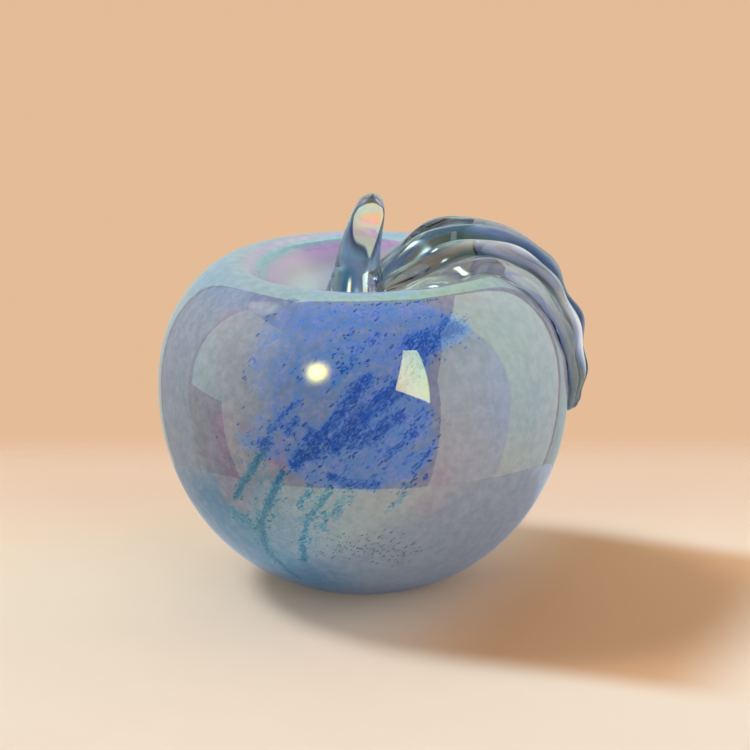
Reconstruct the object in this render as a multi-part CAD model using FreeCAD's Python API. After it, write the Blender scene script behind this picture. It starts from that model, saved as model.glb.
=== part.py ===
import FreeCAD, Part
import math
import os
from FreeCAD import Vector

# Art glass apple: a hollow blown body in three coats of glass, with a drawn stem and an applied leaf.
# +Z is up and the origin is the middle of the flat foot. Lengths are in mm.

# Body outline
body_radius = 50.0
body_height = 79.1
lip_radius = 31.0
dimple_depth = 14.9
equator_height = 49.0
foot_radius = 17.3
dimple_wall_shares = (0.507, 0.257)
shoulder_shares = (0.598, 0.759)
belly_shares = (0.709, 0.350)
foot_run_shares = (-0.96, -0.28)

# Coats of glass, from the outside in
casing_wall = 2.6
colour_wall = 0.9
opal_wall = 3.0
foot_wall = 5.5
coat_steps = 24
coat_reach_share = 0.90

# Cobalt frit patch on the front, as shares of body_radius across and body_height up
cobalt_outline_shares = (
    (-0.40, 0.905), (-0.22, 0.93), (0.04, 0.935), (0.28, 0.92), (0.42, 0.88), (0.36, 0.83),
    (0.31, 0.75), (0.305, 0.57), (0.08, 0.49), (-0.29, 0.51), (-0.59, 0.61), (-0.61, 0.70),
    (-0.50, 0.82),
)

# Aqua frit trails under the patch, each as a centre line in the same shares
aqua_width = 3.2
aqua_lines_shares = (
    ((-0.52, 0.54), (-0.575, 0.46), (-0.60, 0.385)),
    ((-0.365, 0.475), (-0.47, 0.335), (-0.395, 0.185)),
    ((-0.16, 0.45), (-0.25, 0.36), (-0.275, 0.20)),
    ((0.145, 0.44), (0.17, 0.40), (0.20, 0.375)),
)

# Dark chips low on the front, in a loose cluster: rows down the outline, columns round the axis
chip_width = 1.0
chip_rows = 4
chip_columns = 6
cluster_left_angle = -100.0
cluster_right_angle = -76.0
cluster_run_shares = (0.76, 0.86)
chip_drift_shares = (0.0, 0.35, -0.25, 0.15)

# Stem: level oval sections from the dimple floor to the tip
stem_height = 31.5
stem_foot_radius = 10.4
stem_lean = 2.3
stem_seat = 3.0
stem_sections_shares = (
    (0.00, -0.70, 1.000, 0.90),
    (0.12, -0.72, 0.870, 0.88),
    (0.27, -0.70, 0.690, 0.82),
    (0.44, -0.56, 0.535, 0.76),
    (0.56, -0.42, 0.495, 0.72),
    (0.76, 0.22, 0.425, 0.68),
    (0.89, 0.66, 0.345, 0.70),
    (0.96, 0.82, 0.245, 0.80),
    (0.995, 0.95, 0.100, 0.90),
)

# Leaf: a ribbed ribbon from the stem foot over the lip and down the side
leaf_azimuth = 3.0
leaf_width = 29.0
leaf_thickness = 8.8
leaf_root_radius = 3.0
leaf_root_rise = 7.0
leaf_bridge_rise = 1.6
leaf_tip_height = 41.2
leaf_bed = 3.0
scallop_depth = 1.3
scallop_start_share = 0.655
scallop_pitch_share = 0.15
leaf_stations = 39
leaf_tip_start_share = 0.955
leaf_tip_stations_shares = (0.985, 0.995, 1.0)
leaf_width_shares = (0.34, 0.58, 0.86, 0.99, 0.98, 0.88, 0.76, 0.62, 0.48)
leaf_crown_shares = (0.50, 0.66, 0.84, 0.88, 0.83, 0.70, 0.60, 0.53, 0.46)
leaf_sag = 5.0
leaf_sag_shares = (0.45, 1.00, 0.90, 0.25, 0.00, 0.00, 0.00, 0.00, 0.00)
leaf_ridge_shares = (
    (-1.00, 0.02), (-0.90, 0.24), (-0.68, 0.40), (-0.46, 0.38), (-0.24, 0.76), (0.00, 0.52),
    (0.26, 0.95), (0.44, 0.80), (0.60, 0.99), (0.82, 0.74), (1.00, 0.10),
)
leaf_under_shares = ((0.86, -0.55), (0.45, -1.00), (0.00, -1.00), (-0.45, -1.00), (-0.86, -0.55))
leaf_bridge_shares = ((0.28, 0.62, 0.5), (0.62, 1.00, 1.0))
leaf_root_run_shares = (0.65, 0.76)
leaf_tip_run_shares = (-0.15, -0.99)
leaf_tip_least_share = 0.12

# One overrun for every cut
overrun = 2.0

floor_height = body_height - dimple_depth


def at_share(low, high, share):
    return low + (high - low) * share


def outline_stations():
    """Points of the outer outline as (radius, height), from the dimple floor to the foot."""
    dimple = (lip_radius * dimple_wall_shares[0],
              at_share(floor_height, body_height, dimple_wall_shares[1]))
    shoulder = (at_share(lip_radius, body_radius, shoulder_shares[0]),
                at_share(equator_height, body_height, shoulder_shares[1]))
    belly = (at_share(foot_radius, body_radius, belly_shares[0]),
             equator_height * belly_shares[1])
    return [(0, floor_height), dimple, (lip_radius, body_height), shoulder,
            (body_radius, equator_height), belly, (foot_radius, 0)]


def chord_lengths(points):
    """Running length of the straight runs between points, one value a point."""
    lengths = [0.0]
    for near, far in zip(points, points[1:]):
        lengths.append(lengths[-1] + near.distanceToPoint(far))
    return lengths


def flat_curve(stations, start, end):
    """Smooth curve in the XZ plane through (radius, height) stations, with given end directions."""
    points = [Vector(x, 0, z) for x, z in stations]
    curve = Part.BSplineCurve()
    curve.interpolate(Points=points, Parameters=chord_lengths(points), Scale=False,
                      InitialTangent=Vector(start[0], 0, start[1]),
                      FinalTangent=Vector(end[0], 0, end[1]))
    return curve


outer_curve = flat_curve(outline_stations(), (1, 0), foot_run_shares)


def outline_point(share, depth):
    """Point at a share of the outer outline, moved into the glass by a depth."""
    first = outer_curve.FirstParameter
    last = outer_curve.LastParameter
    at = at_share(first, last, share)
    point = outer_curve.value(at)
    run = outer_curve.tangent(at)[0]
    return point.x + run.z * depth, point.z - run.x * depth


def turned(curve, closing_points):
    """Solid of revolution about Z from a curve that starts on the axis, closed by straight edges.

    It is turned in two halves, so that each face has a full outer edge when frit is let into it.
    """
    edges = [curve.toShape()]
    corners = [curve.value(curve.LastParameter)] + [Vector(x, 0, z) for x, z in closing_points]
    corners.append(curve.value(curve.FirstParameter))
    for near, far in zip(corners, corners[1:]):
        if near.distanceToPoint(far) > 0:
            edges.append(Part.makeLine(near, far))
    face = Part.Face(Part.Wire(edges))
    back = face.revolve(Vector(0, 0, 0), Vector(0, 0, 1), 180)
    front = back.copy()
    front.rotate(Vector(0, 0, 0), Vector(0, 0, 1), 180)
    return back.fuse(front)


def body_solid():
    return turned(outer_curve, [(0, 0)])


def coat_solid(depth):
    """Everything deeper than a depth under the surface, with thick glass left over the foot."""
    points = [outline_point(coat_reach_share * step / coat_steps, depth)
              for step in range(coat_steps + 1)]
    points.append((0, foot_wall + depth - casing_wall))
    return turned(flat_curve(points, (1, 0), (-1, 0)), [])


def front_prism(outline):
    """Prism along Y, outward through the front wall, from an outline in the XZ plane."""
    face = Part.Face(outline)
    face.translate(Vector(0, -lip_radius, 0))
    return face.extrude(Vector(0, lip_radius - body_radius - overrun, 0))


def front_points(shares):
    return [Vector(body_radius * x, 0, body_height * z) for x, z in shares]


def cobalt_tool():
    curve = Part.BSplineCurve()
    curve.interpolate(Points=front_points(cobalt_outline_shares), PeriodicFlag=True)
    return front_prism(Part.Wire(curve.toShape()))


def aqua_tool(shares):
    """Prism over one trail: its centre line widened to both sides, with pointed ends."""
    line = front_points(shares)
    run = (line[-1] - line[0]).normalize()
    side = Vector(-run.z, 0, run.x) * (aqua_width / 2)
    left = Part.BSplineCurve()
    left.interpolate(Points=[line[0]] + [point + side for point in line[1:-1]] + [line[-1]])
    right = Part.BSplineCurve()
    right.interpolate(Points=[line[-1]] + [point - side for point in line[-2:0:-1]] + [line[0]])
    return front_prism(Part.Wire([left.toShape(), right.toShape()]))


def chip_tools():
    """Short square rods straight through the colour coat, in staggered rows low on the front."""
    tools = []
    row_pitch = (cluster_run_shares[1] - cluster_run_shares[0]) / chip_rows
    column_pitch = (cluster_right_angle - cluster_left_angle) / chip_columns
    for row in range(chip_rows):
        for column in range(chip_columns):
            across_drift = chip_drift_shares[(row + column) % len(chip_drift_shares)]
            down_drift = chip_drift_shares[column % len(chip_drift_shares)]
            at = cluster_run_shares[0] + row_pitch * (row + down_drift)
            outer = outline_point(at, casing_wall - colour_wall)
            inner = outline_point(at, casing_wall + 2 * colour_wall)
            start = Vector(outer[0], -chip_width / 2, outer[1])
            end = Vector(inner[0], -chip_width / 2, inner[1])
            rod = Part.makeBox(chip_width, chip_width, 3 * colour_wall, start, end - start)
            rod.rotate(Vector(0, 0, 0), Vector(0, 0, 1),
                       cluster_left_angle + column_pitch * (column + across_drift))
            tools.append(rod)
    return tools


def stem_loft():
    """Oval sections stacked from under the dimple floor to a rounded tip."""
    wires = []
    seat = stem_sections_shares[0]
    levels = [(-stem_seat, seat)] + [(stem_height * row[0], row) for row in stem_sections_shares]
    for rise, row in levels:
        centre = Vector(stem_lean * row[1], 0, floor_height + rise)
        half_width = stem_foot_radius * row[2]
        half_depth = half_width * row[3]
        oval = Part.Ellipse(centre + Vector(half_width, 0, 0),
                            centre + Vector(0, half_depth, 0), centre)
        wires.append(Part.Wire(oval.toShape()))
    tip = Part.Vertex(Vector(stem_lean, 0, floor_height + stem_height))
    return Part.makeLoft(wires + [tip], True, False)


def leaf_spine():
    """Bed line of the leaf: from the stem across the dimple, then down the body's outline."""
    stations = outline_stations()
    crest, shoulder, equator, belly = stations[2:6]
    root = (leaf_root_radius, floor_height + leaf_root_rise)
    bridge = [(at_share(root[0], crest[0], across), at_share(root[1], body_height, up)
               + leaf_bridge_rise * arch) for across, up, arch in leaf_bridge_shares]
    drop_share = (equator_height - leaf_tip_height) / (equator_height - belly[1])
    tip = (at_share(body_radius, belly[0], drop_share ** 2), leaf_tip_height)
    return flat_curve([root] + bridge + [crest, shoulder, equator, tip],
                      leaf_root_run_shares, leaf_tip_run_shares)


def eased(shares, share):
    """Smooth curve through evenly spaced shares, read at a share of its length."""
    place = share * (len(shares) - 1)
    index = min(int(place), len(shares) - 2)
    blend = place - index
    near, far = shares[index], shares[index + 1]
    near_slope = (far - shares[max(index - 1, 0)]) / 2
    far_slope = (shares[min(index + 2, len(shares) - 1)] - near) / 2
    return (near * (1 + 2 * blend) * (1 - blend) ** 2 + far * blend ** 2 * (3 - 2 * blend)
            + near_slope * blend * (1 - blend) ** 2 - far_slope * blend ** 2 * (1 - blend))


def leaf_section(spine, share):
    """Points of one closed ribbed section, across the leaf at a share of its length."""
    at = at_share(spine.FirstParameter, spine.LastParameter, share)
    middle = spine.value(at)
    run = spine.tangent(at)[0]
    out = Vector(-run.z, 0, run.x)
    wave = (1 - math.cos(2 * math.pi * (share - scallop_start_share) / scallop_pitch_share)) / 2
    onset = min(max((share - scallop_start_share) / scallop_pitch_share + 1, 0), 1)
    scallop = scallop_depth * wave * onset
    past_start = max(share - leaf_tip_start_share, 0) / (1 - leaf_tip_start_share)
    rounding = max(math.sqrt(1 - past_start ** 2), leaf_tip_least_share)
    half_width = (leaf_width / 2 * eased(leaf_width_shares, share) + scallop) * rounding
    crown = (leaf_thickness * eased(leaf_crown_shares, share) + scallop) * rounding
    under = leaf_bed * rounding
    sag = leaf_sag * eased(leaf_sag_shares, share)
    corners = [(across, rise * under) for across, rise in leaf_under_shares]
    middle_corner = len(corners) // 2
    corners = (corners[middle_corner:]
               + [(across, rise * crown) for across, rise in leaf_ridge_shares]
               + corners[:middle_corner + 1])
    points = []
    for across_share, rise in corners:
        across = across_share * half_width
        wrap = across * across / (2 * body_radius) * max(out.x, 0)
        near_drop = sag * min(across_share, 0) ** 2
        points.append(middle + out * (rise - wrap - near_drop) + Vector(0, across, 0))
    return points


def through(points, marks):
    """Cubic curve through points at given marks."""
    curve = Part.BSplineCurve()
    curve.interpolate(Points=points, Parameters=marks)
    return curve


def woven_surface(rows, steps):
    """Smooth surface through rows of points: a curve along each row, then across their poles."""
    runs = [chord_lengths(row) for row in rows]
    marks = [sum(values) / len(rows) for values in zip(*runs)]
    row_curves = [through(row, marks) for row in rows]
    lines = list(zip(*[curve.getPoles() for curve in row_curves]))
    line_curves = [through(list(line), steps) for line in lines]
    poles = list(zip(*[curve.getPoles() for curve in line_curves]))
    along, across = line_curves[0], row_curves[0]
    surface = Part.BSplineSurface()
    surface.buildFromPolesMultsKnots(poles, along.getMultiplicities(), across.getMultiplicities(),
                                     along.getKnots(), across.getKnots(), False, False,
                                     along.Degree, across.Degree)
    return surface


def leaf_solid():
    """Smooth tube through the ribbed sections, closed by a flat face at the root and the tip."""
    spine = leaf_spine()
    stations = [leaf_tip_stations_shares[0] * index / leaf_stations for index in range(leaf_stations)]
    stations.extend(leaf_tip_stations_shares)
    surface = woven_surface([leaf_section(spine, share) for share in stations], stations)
    root, tip = surface.bounds()[:2]
    ends = [Part.Face(Part.Wire(surface.uIso(at).toShape())) for at in (root, tip)]
    shell = Part.makeShell([surface.toShape()] + ends)
    shell.sewShape()
    leaf = Part.makeSolid(shell)
    leaf.rotate(Vector(0, 0, 0), Vector(0, 0, 1), leaf_azimuth)
    return leaf


def largest(shape):
    return max(shape.Solids, key=lambda solid: solid.Volume)


def main():
    os.makedirs("parts", exist_ok=True)
    body = body_solid()
    under_casing = coat_solid(casing_wall)
    under_colour = coat_solid(casing_wall + colour_wall)
    hollow = coat_solid(casing_wall + colour_wall + opal_wall)
    colour_coat = under_casing.cut(under_colour)

    patch_cut = cobalt_tool()
    trail_cuts = [aqua_tool(shares) for shares in aqua_lines_shares]
    chip_cuts = chip_tools()
    cobalt = colour_coat.common(patch_cut)
    aqua = [colour_coat.common(cut).cut(patch_cut) for cut in trail_cuts]
    chips = [colour_coat.common(cut) for cut in chip_cuts]
    ground = largest(colour_coat.cut([patch_cut] + trail_cuts + chip_cuts))

    stem = largest(stem_loft().cut(body))
    leaf = largest(leaf_solid().cut([body, stem]))

    nodes = {
        "clear_casing": body.cut(under_casing),
        "lavender_ground": ground,
        "cobalt_patch": cobalt,
        "aqua_trails": Part.makeCompound([solid for trail in aqua for solid in trail.Solids]),
        "dark_chips": Part.makeCompound([solid for chip in chips for solid in chip.Solids]),
        "opal_bubble": under_colour.cut(hollow),
        "stem": stem,
        "leaf": leaf,
    }
    for name, shape in nodes.items():
        shape.exportStep("parts/" + name + ".step")
        box = shape.BoundBox
        print(name, "solids", len(shape.Solids), "valid", shape.isValid(),
              "volume", round(shape.Volume, 1),
              "x", round(box.XMin, 2), round(box.XMax, 2),
              "y", round(box.YMin, 2), round(box.YMax, 2),
              "z", round(box.ZMin, 2), round(box.ZMax, 2))


main()
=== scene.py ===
import math

import bpy
import numpy as np
from bpy.props import FloatProperty, FloatVectorProperty, IntProperty, PointerProperty
from bpy.types import Operator, Panel, PropertyGroup
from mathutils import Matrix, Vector


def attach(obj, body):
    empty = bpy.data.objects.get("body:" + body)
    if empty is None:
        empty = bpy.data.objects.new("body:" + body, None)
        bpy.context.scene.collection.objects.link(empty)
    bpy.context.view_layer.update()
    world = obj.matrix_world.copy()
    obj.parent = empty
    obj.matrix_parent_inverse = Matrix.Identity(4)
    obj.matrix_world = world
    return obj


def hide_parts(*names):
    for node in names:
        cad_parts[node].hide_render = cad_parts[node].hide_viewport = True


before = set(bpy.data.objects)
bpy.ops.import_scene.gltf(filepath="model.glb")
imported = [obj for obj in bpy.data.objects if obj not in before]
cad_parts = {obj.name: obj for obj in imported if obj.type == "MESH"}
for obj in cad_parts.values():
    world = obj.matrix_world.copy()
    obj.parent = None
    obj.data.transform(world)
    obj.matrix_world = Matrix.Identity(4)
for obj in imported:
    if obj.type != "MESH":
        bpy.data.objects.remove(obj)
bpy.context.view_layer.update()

bl_info = {
    "name": "Art glass apple",
    "version": (1, 0, 0),
    "blender": (4, 5, 0),
    "location": "3D View > Sidebar > Glass apple",
    "description": "Builds a hollow blown glass apple with frit under clear glass, a stem and a leaf",
    "category": "Object",
}

SEED = 7
MM = 0.001

# Places on the body are (azimuth, height): degrees round from the front, towards +X, and millimetres up.

# Body outline, as shares of the sizes in the panel
DIMPLE_WALL_SHARES = (0.507, 0.257)
SHOULDER_SHARES = (0.598, 0.759)
BELLY_SHARES = (0.709, 0.350)
FOOT_RUN = (-0.96, -0.28)
COAT_REACH = 0.90
COAT_STEPS = 24

# How deep the stem and the leaf are bedded in the body, and the marks on its outline for that
BED_DEPTH = 0.4 * MM
BED_MARKS = 600

# Stem sections: height, centre, half width and depth against width, as shares
STEM_SECTIONS = (
    (0.00, -0.70, 1.000, 0.90),
    (0.12, -0.72, 0.870, 0.88),
    (0.27, -0.70, 0.690, 0.82),
    (0.44, -0.56, 0.535, 0.76),
    (0.56, -0.42, 0.495, 0.72),
    (0.76, 0.22, 0.425, 0.68),
    (0.89, 0.66, 0.345, 0.70),
    (0.96, 0.82, 0.245, 0.80),
    (0.995, 0.95, 0.100, 0.90),
    (1.00, 1.00, 0.004, 0.90),
)
STEM_ROWS = 140
STEM_COLUMNS = 120

# Pressed part of the stem: where it starts and ends, as shares of the height, and how square it is
PADDLE_START = (0.36, 0.70)
PADDLE_END = (0.93, 1.0)
PADDLE_SQUARENESS = 1.1

# Leaf ribbon: spine, widths and crowns along it, and the ribs across it, as shares
LEAF_BRIDGE = ((0.28, 0.62, 0.5), (0.62, 1.00, 1.0))
LEAF_ROOT_RUN = (0.65, 0.76)
LEAF_TIP_RUN = (-0.15, -0.99)
LEAF_WIDTHS = (0.34, 0.58, 0.86, 0.99, 0.98, 0.88, 0.76, 0.62, 0.48)
LEAF_CROWNS = (0.50, 0.66, 0.84, 0.88, 0.83, 0.70, 0.60, 0.53, 0.46)
LEAF_SAGS = (0.45, 1.00, 0.90, 0.25, 0.00, 0.00, 0.00, 0.00, 0.00)
LEAF_RIDGES = (
    (-1.00, 0.02), (-0.90, 0.24), (-0.68, 0.40), (-0.46, 0.36), (-0.24, 0.76), (0.00, 0.40),
    (0.26, 0.95), (0.44, 0.78), (0.60, 0.99), (0.82, 0.74), (1.00, 0.10),
)
LEAF_DRIFTS = (-0.46, -0.46, -0.36, -0.12, 0.05, 0.08, 0.06, 0.02, 0.00)
LEAF_UNDERSIDE = ((0.86, -0.55), (0.45, -1.00), (0.00, -1.00), (-0.45, -1.00), (-0.86, -0.55))
LEAF_TIP_START = 0.955
LEAF_TIP_LEAST = 0.12
LEAF_SPINE_MARKS = 1001

# Slow waves over the ribs of the leaf: turns across, turns along, phase, and height in mm
LEAF_WAVES = ((2.1, 3.4, 0.6, 0.28), (3.3, -5.2, 2.0, 0.18))

# Painted shade in the furrows and painted highlights on the crests of the leaf: (place across, width,
# strength) as shares
LEAF_FURROWS = ((-0.46, 0.07, 1.00), (0.02, 0.16, 1.35), (0.44, 0.06, 0.60))
LEAF_CREST_HIGHLIGHTS = ((-0.24, 0.065, 0.66), (0.26, 0.020, 0.12), (0.62, 0.025, 0.26))
# How much darker the leaf is made further down, as a share
LEAF_LOW_DARKENING = 0.50
# Painted light: a faint glow on the near skirt of the leaf
LEAF_SKIRT_LIGHT = 0.09
# How far the painted highlights weave to and fro across the crests, as a share
CREST_WEAVE = 0.05
# Colour of the painted shade in the furrows
FURROW_SHADE_TINT = (0.015, 0.10, 0.14)
# Colours of the painted highlights on the crests, from rosy to minty
ROSY_HIGHLIGHT = (0.95, 0.88, 0.90)
MINTY_HIGHLIGHT = (0.80, 0.96, 0.86)

# Painted reflection on the stem's pressed face, a window that glows: height, middle and half width, as shares
STEM_REFLECTION_WINDOW = (
    (0.52, 0.34, 0.00), (0.62, 0.24, 0.20), (0.74, 0.12, 0.48), (0.84, 0.05, 0.76), (0.90, 0.04, 0.66),
    (0.94, 0.04, 0.00),
)

# Colours of the stem, with soft spots as (colour, (middle, half width, height, half height)) in shares
STEM_FACE_TINT = (0.44, 0.66, 0.70)
STEM_FACE_SPOTS = (
    ((0.05, 0.46, 0.58), (-0.45, 0.45, 0.36, 0.16)),
    ((0.44, 0.34, 0.48), (0.6, 0.4, 0.20, 0.14)),
)
# Painted shade: the dark rim round the window of painted reflection
STEM_RIM_SHADE = (0.05, 0.10, 0.11)
# Painted reflection: the window's tint, and the colours it glows with, as a base and soft spots
STEM_REFLECTION_TINT = (0.85, 0.82, 0.62)
STEM_REFLECTION_GLOW = (0.26, 0.26, 0.12)
STEM_REFLECTION_GLOW_SPOTS = (
    ((0.60, 0.12, 0.00), (0.16, 0.34, 0.80, 0.05)),
    ((0.26, 0.06, 0.20), (0.24, 0.20, 0.72, 0.03)),
    ((0.06, 0.30, 0.32), (0.0, 0.6, 0.90, 0.03)),
)
# Painted glints: highlights that glow on the pressed face, each as (middle, half width, height, half height)
STEM_GLINT_HIGHLIGHT = (0.35, 0.70, 0.66)
STEM_GLINTS = ((0.00, 0.06, 0.24, 0.05), (0.36, 0.06, 0.37, 0.05))

# Strokes are (places, width in mm, strength), and fade out between these shares of their width
STROKE_FADE = (0.35, 1.6)

# Cobalt frit: the patch's outline, how it fades over its edge in mm, its least density and its streaks
PATCH_EDGE = (-1.5, 3.0)
PATCH_LEAST = 0.34
COBALT_OUTLINE = (
    (-36, 71), (-32, 74), (-24, 76.5), (-8, 77), (9, 77), (24, 76.5), (33, 74), (38, 71), (37, 69),
    (28, 67.5), (22, 66), (19, 60), (21, 50), (20, 42), (14, 38), (3, 35.5), (-9, 36), (-19, 37.5),
    (-24, 41), (-30, 42), (-36, 43), (-40, 47), (-37, 50), (-31, 55), (-36, 60), (-38, 66),
)
COBALT_STREAKS = (
    (((-6, 46), (4, 51), (12, 56)), 11.0, 0.52),
    (((-12, 40), (0, 39), (14, 42)), 5.0, 0.50),
    (((-20, 73), (0, 74), (26, 74)), 5.0, 0.46),
    (((16, 68), (27, 69.5), (35, 71)), 4.6, 0.88),
    (((-10, 66), (2, 68), (14, 66)), 6.0, 0.46),
    (((-30, 66), (-24, 60), (-16, 66)), 7.0, 0.26),
    (((-30, 50), (-22, 52), (-12, 60)), 6.0, 0.34),
    (((-36, 46), (-30, 45.5), (-22, 44)), 3.4, 0.50),
    (((-19, 42), (-13, 48), (-8, 53), (-3, 59), (1, 62.5)), 1.7, 0.95),
    (((-14, 44), (-7, 50), (0, 56.5)), 1.2, 0.85),
    (((-8, 47.5), (-2, 52), (4, 57), (9, 60)), 2.6, 0.92),
    (((-3, 48), (4, 50.5), (10, 54)), 2.2, 0.86),
    (((-9, 39.5), (-3, 38), (3, 38)), 1.8, 0.85),
    (((-29, 46), (-27.5, 46.4)), 1.9, 1.05),
    (((-27, 49), (-22, 54), (-18, 57)), 1.0, 0.80),
    (((-21, 50), (-19, 52.5)), 1.7, 0.80),
    (((-18, 44), (-16, 47), (-14, 50)), 1.9, 0.85),
    (((20, 48), (17, 44), (14, 41)), 1.2, 0.72),
    (((10, 61), (15, 63), (19, 66)), 2.0, 0.62),
    (((-8, 62), (-2, 67), (4, 71)), 1.8, 0.60),
    (((-18, 62), (-10, 66), (-4, 71)), 1.6, 0.50),
    (((7, 45), (12, 49), (18, 54)), 1.8, 0.66),
    (((-36, 71), (-32, 74), (-28, 76)), 0.9, 0.75),
    (((-37, 60), (-34, 64)), 0.9, 0.55),
)
AQUA_STREAKS = (
    (((-29, 44), (-33, 39), (-37, 35), (-41, 31)), 1.1, 0.76),
    (((-23, 40), (-26, 35), (-29, 31), (-33, 26), (-35, 21), (-36, 17), (-34, 13), (-31, 9)), 0.9, 0.84),
    (((-30, 28), (-34, 23), (-36, 18)), 2.2, 0.34),
    (((-44, 27), (-40, 25.5), (-36, 24)), 2.1, 0.56),
    (((-9, 37), (-13, 32), (-17, 28), (-20, 22), (-22, 16)), 0.9, 0.66),
    (((-14, 30), (-18, 26), (-20, 21)), 2.2, 0.32),
    (((-15, 37), (-19, 31)), 1.0, 0.52),
    (((13, 38), (10, 34), (7, 31)), 1.2, 0.46),
    (((-4, 36), (-8, 31), (-13, 27)), 1.8, 0.44),
    (((-34, 40), (-28, 28), (-20, 24), (-12, 30)), 8.0, 0.24),
    (((-40, 20), (-34, 13), (-24, 8)), 5.0, 0.34),
)

# Dark chips: a cluster low on the front and a few strays, as places, spread in mm and count
CHIP_GROUPS = (
    (((-8, 20), (-2, 22), (5, 21), (13, 19)), 4.6, 130),
    (((21, 56), (23, 50)), 2.2, 9),
)

# Rose blotches and blue shade in the ground
ROSE_MARKS = (
    (((-41, 49), (-39, 43), (-38, 37), (-42, 31)), 4.0, 0.75),
    (((-34, 48), (-29, 45), (-24, 43)), 2.6, 0.9),
    (((23, 39), (22, 35), (19, 32)), 3.4, 0.5),
    (((-52, 71), (-43, 74), (-35, 76)), 2.0, 0.8),
    (((30, 76), (40, 76), (48, 75)), 2.0, 0.5),
)
SHADE_MARKS = (
    (((-50, 26), (-40, 17), (-22, 9)), 9.0, 0.75),
    (((-34, 36), (-28, 24)), 6.0, 0.30),
    (((-96, 75), (-84, 74)), 4.0, 0.4),
)

# The same kinds of marks on the sides and the back
BACK_COBALT = (
    (((92, 68), (108, 62), (122, 50)), 9.0, 0.44),
    (((104, 72), (120, 68), (134, 60)), 7.0, 0.40),
    (((98, 59), (105, 56), (110, 53)), 2.2, 0.74),
    (((166, 56), (180, 63), (196, 69)), 9.0, 0.42),
    (((178, 50), (190, 57), (202, 62)), 7.0, 0.38),
    (((172, 54), (181, 59), (188, 64)), 2.0, 0.76),
    (((236, 60), (246, 66), (256, 71)), 6.0, 0.34),
)
BACK_AQUA = (
    (((112, 48), (107, 40), (104, 31), (108, 20), (114, 11)), 0.9, 0.60),
    (((126, 50), (124, 42), (118, 34), (116, 28)), 0.8, 0.54),
    (((174, 48), (168, 38), (165, 27), (170, 14), (178, 8)), 0.9, 0.62),
    (((190, 50), (193, 41), (188, 32), (182, 26)), 0.8, 0.54),
    (((232, 54), (228, 44), (231, 33), (226, 24)), 0.8, 0.54),
)
BACK_ROSE = (
    (((142, 56), (148, 44), (146, 32)), 4.4, 0.6),
    (((212, 46), (218, 36), (214, 27)), 4.0, 0.6),
    (((80, 62), (84, 52)), 3.4, 0.4),
)

# Single grains: slant in degrees, crowding along the streaks, and the ranges of lengths and widths in mm
GRAIN_CORNERS = 6
GRAIN_SLANT = 44.0
GRAIN_SLANT_SPREAD = 12.0
GRAIN_PULL = (0.72, 1.25)
GRAIN_THICKNESS = 0.28
COBALT_CROWD = 16.0
AQUA_CROWD = 18.0
LEAST_GRAINS = 6
COLOUR_GRAIN_SIZES = ((0.6, 1.9), (0.30, 0.65))
CHIP_SIZES = ((0.45, 1.3), (0.24, 0.42))
PALE_CHIP = (0.16, 0.32, 0.40)

# Where grains are tried: the margin round a streak in degrees and mm, tries for each grain, and heights
TRY_MARGIN = 12
TRIES_A_GRAIN = 40
TRY_HEIGHTS = (6, 76)

# Ground of the coat: heights as shares of the body's, frit densities, strengths and flecks
LOW_HEIGHTS = (0.05, 0.55)
THIN_FRIT_DENSITIES = (0.10, 0.62)
THIN_FRIT_STRENGTH = 0.62
ROSE_STRENGTH = 0.7
PALE_FLECK = (0.62, 0.64, 0.74)
SLATE_FLECK = (0.16, 0.22, 0.36)
MOTTLE_SCALE = 420.0
FRIT_SCALE = 2200.0

# Tints round the dimple: blue shoulder; pearly basin, a painted light that lifts the dimple's shade; and sage
# lip, a painted reflection of the bright band on the lip. Each is its colour, its strength at the right and
# at the left, the heights it rises between, and its distances from the rings' centre in mm
DIMPLE_TINTS_AND_LIGHT = (
    ((0.20, 0.31, 0.52), (0.00, 0.65), (0.88, 0.94), (31, 34)),
    ((0.66, 0.58, 0.64), (0.90, 0.90), (0.80, 0.86), (27, 21)),
    ((0.21, 0.32, 0.20), (0.90, 0.18), (0.950, 0.975), (27, 29)),
)
LEFTWARD_SHARES = (0.3, -0.6)

# Painted reflection: rings of iridescent lustre round the dimple, a little off the axis: (radius, width,
# colour), lengths in mm.
# They fade out towards the front, along a line that slants to the right.
RING_CENTRE = (2.0, 3.0)
RING_STRENGTH = 0.9
RING_HEIGHTS = (0.80, 0.86)
RING_FADE = (-22, -6)
RING_FADE_SLOPE = 0.35
LUSTRE_REFLECTION_RINGS = (
    (30.2, 1.2, (0.60, 0.28, 0.58)),
    (28.2, 1.5, (0.16, 0.46, 0.54)),
    (25.4, 1.7, (0.66, 0.38, 0.68)),
    (20.0, 1.6, (0.60, 0.76, 0.80)),
)

# Clear glass of each piece: two tints, the scale of their swirls, roughness, film and ripple.
# A film is its least and most depth in nm, scale and index, and a ripple is its strength and depth.
CASING_GLASS = ((0.96, 0.98, 1.0), (1.0, 0.97, 0.98), 30.0, 0.035, (206.0, 230.0, 26.0, 2.0), (0.02, 0.0004))
STEM_GLASS = ((0.46, 0.64, 0.88), (0.56, 0.70, 0.88), 60.0, 0.02, (62.0, 110.0, 90.0, 2.0), (0.05, 0.0006))
LEAF_GLASS = ((0.24, 0.36, 0.48), (0.33, 0.43, 0.52), 55.0, 0.015, (66.0, 88.0, 45.0, 2.0), (0.06, 0.0006))
CLEAR_SHADOW = (0.9, 0.9, 0.92)

# Haze of the casing in the dimple: where it rises, as shares of the lip's radius, and its roughness
HAZE_RADII = (0.94, 0.76)
HAZE_ROUGHNESS = 0.30

# The camera: metres, degrees and lens millimetres, and its aim to the right and up as shares
CAMERA_DISTANCE = 0.73768
CAMERA_ELEVATION = 19.77
CAMERA_LENS = 142.1
SENSOR_WIDTH = 36.0
AIM_RIGHT = 0.00389
AIM_UP = 0.06586

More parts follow.
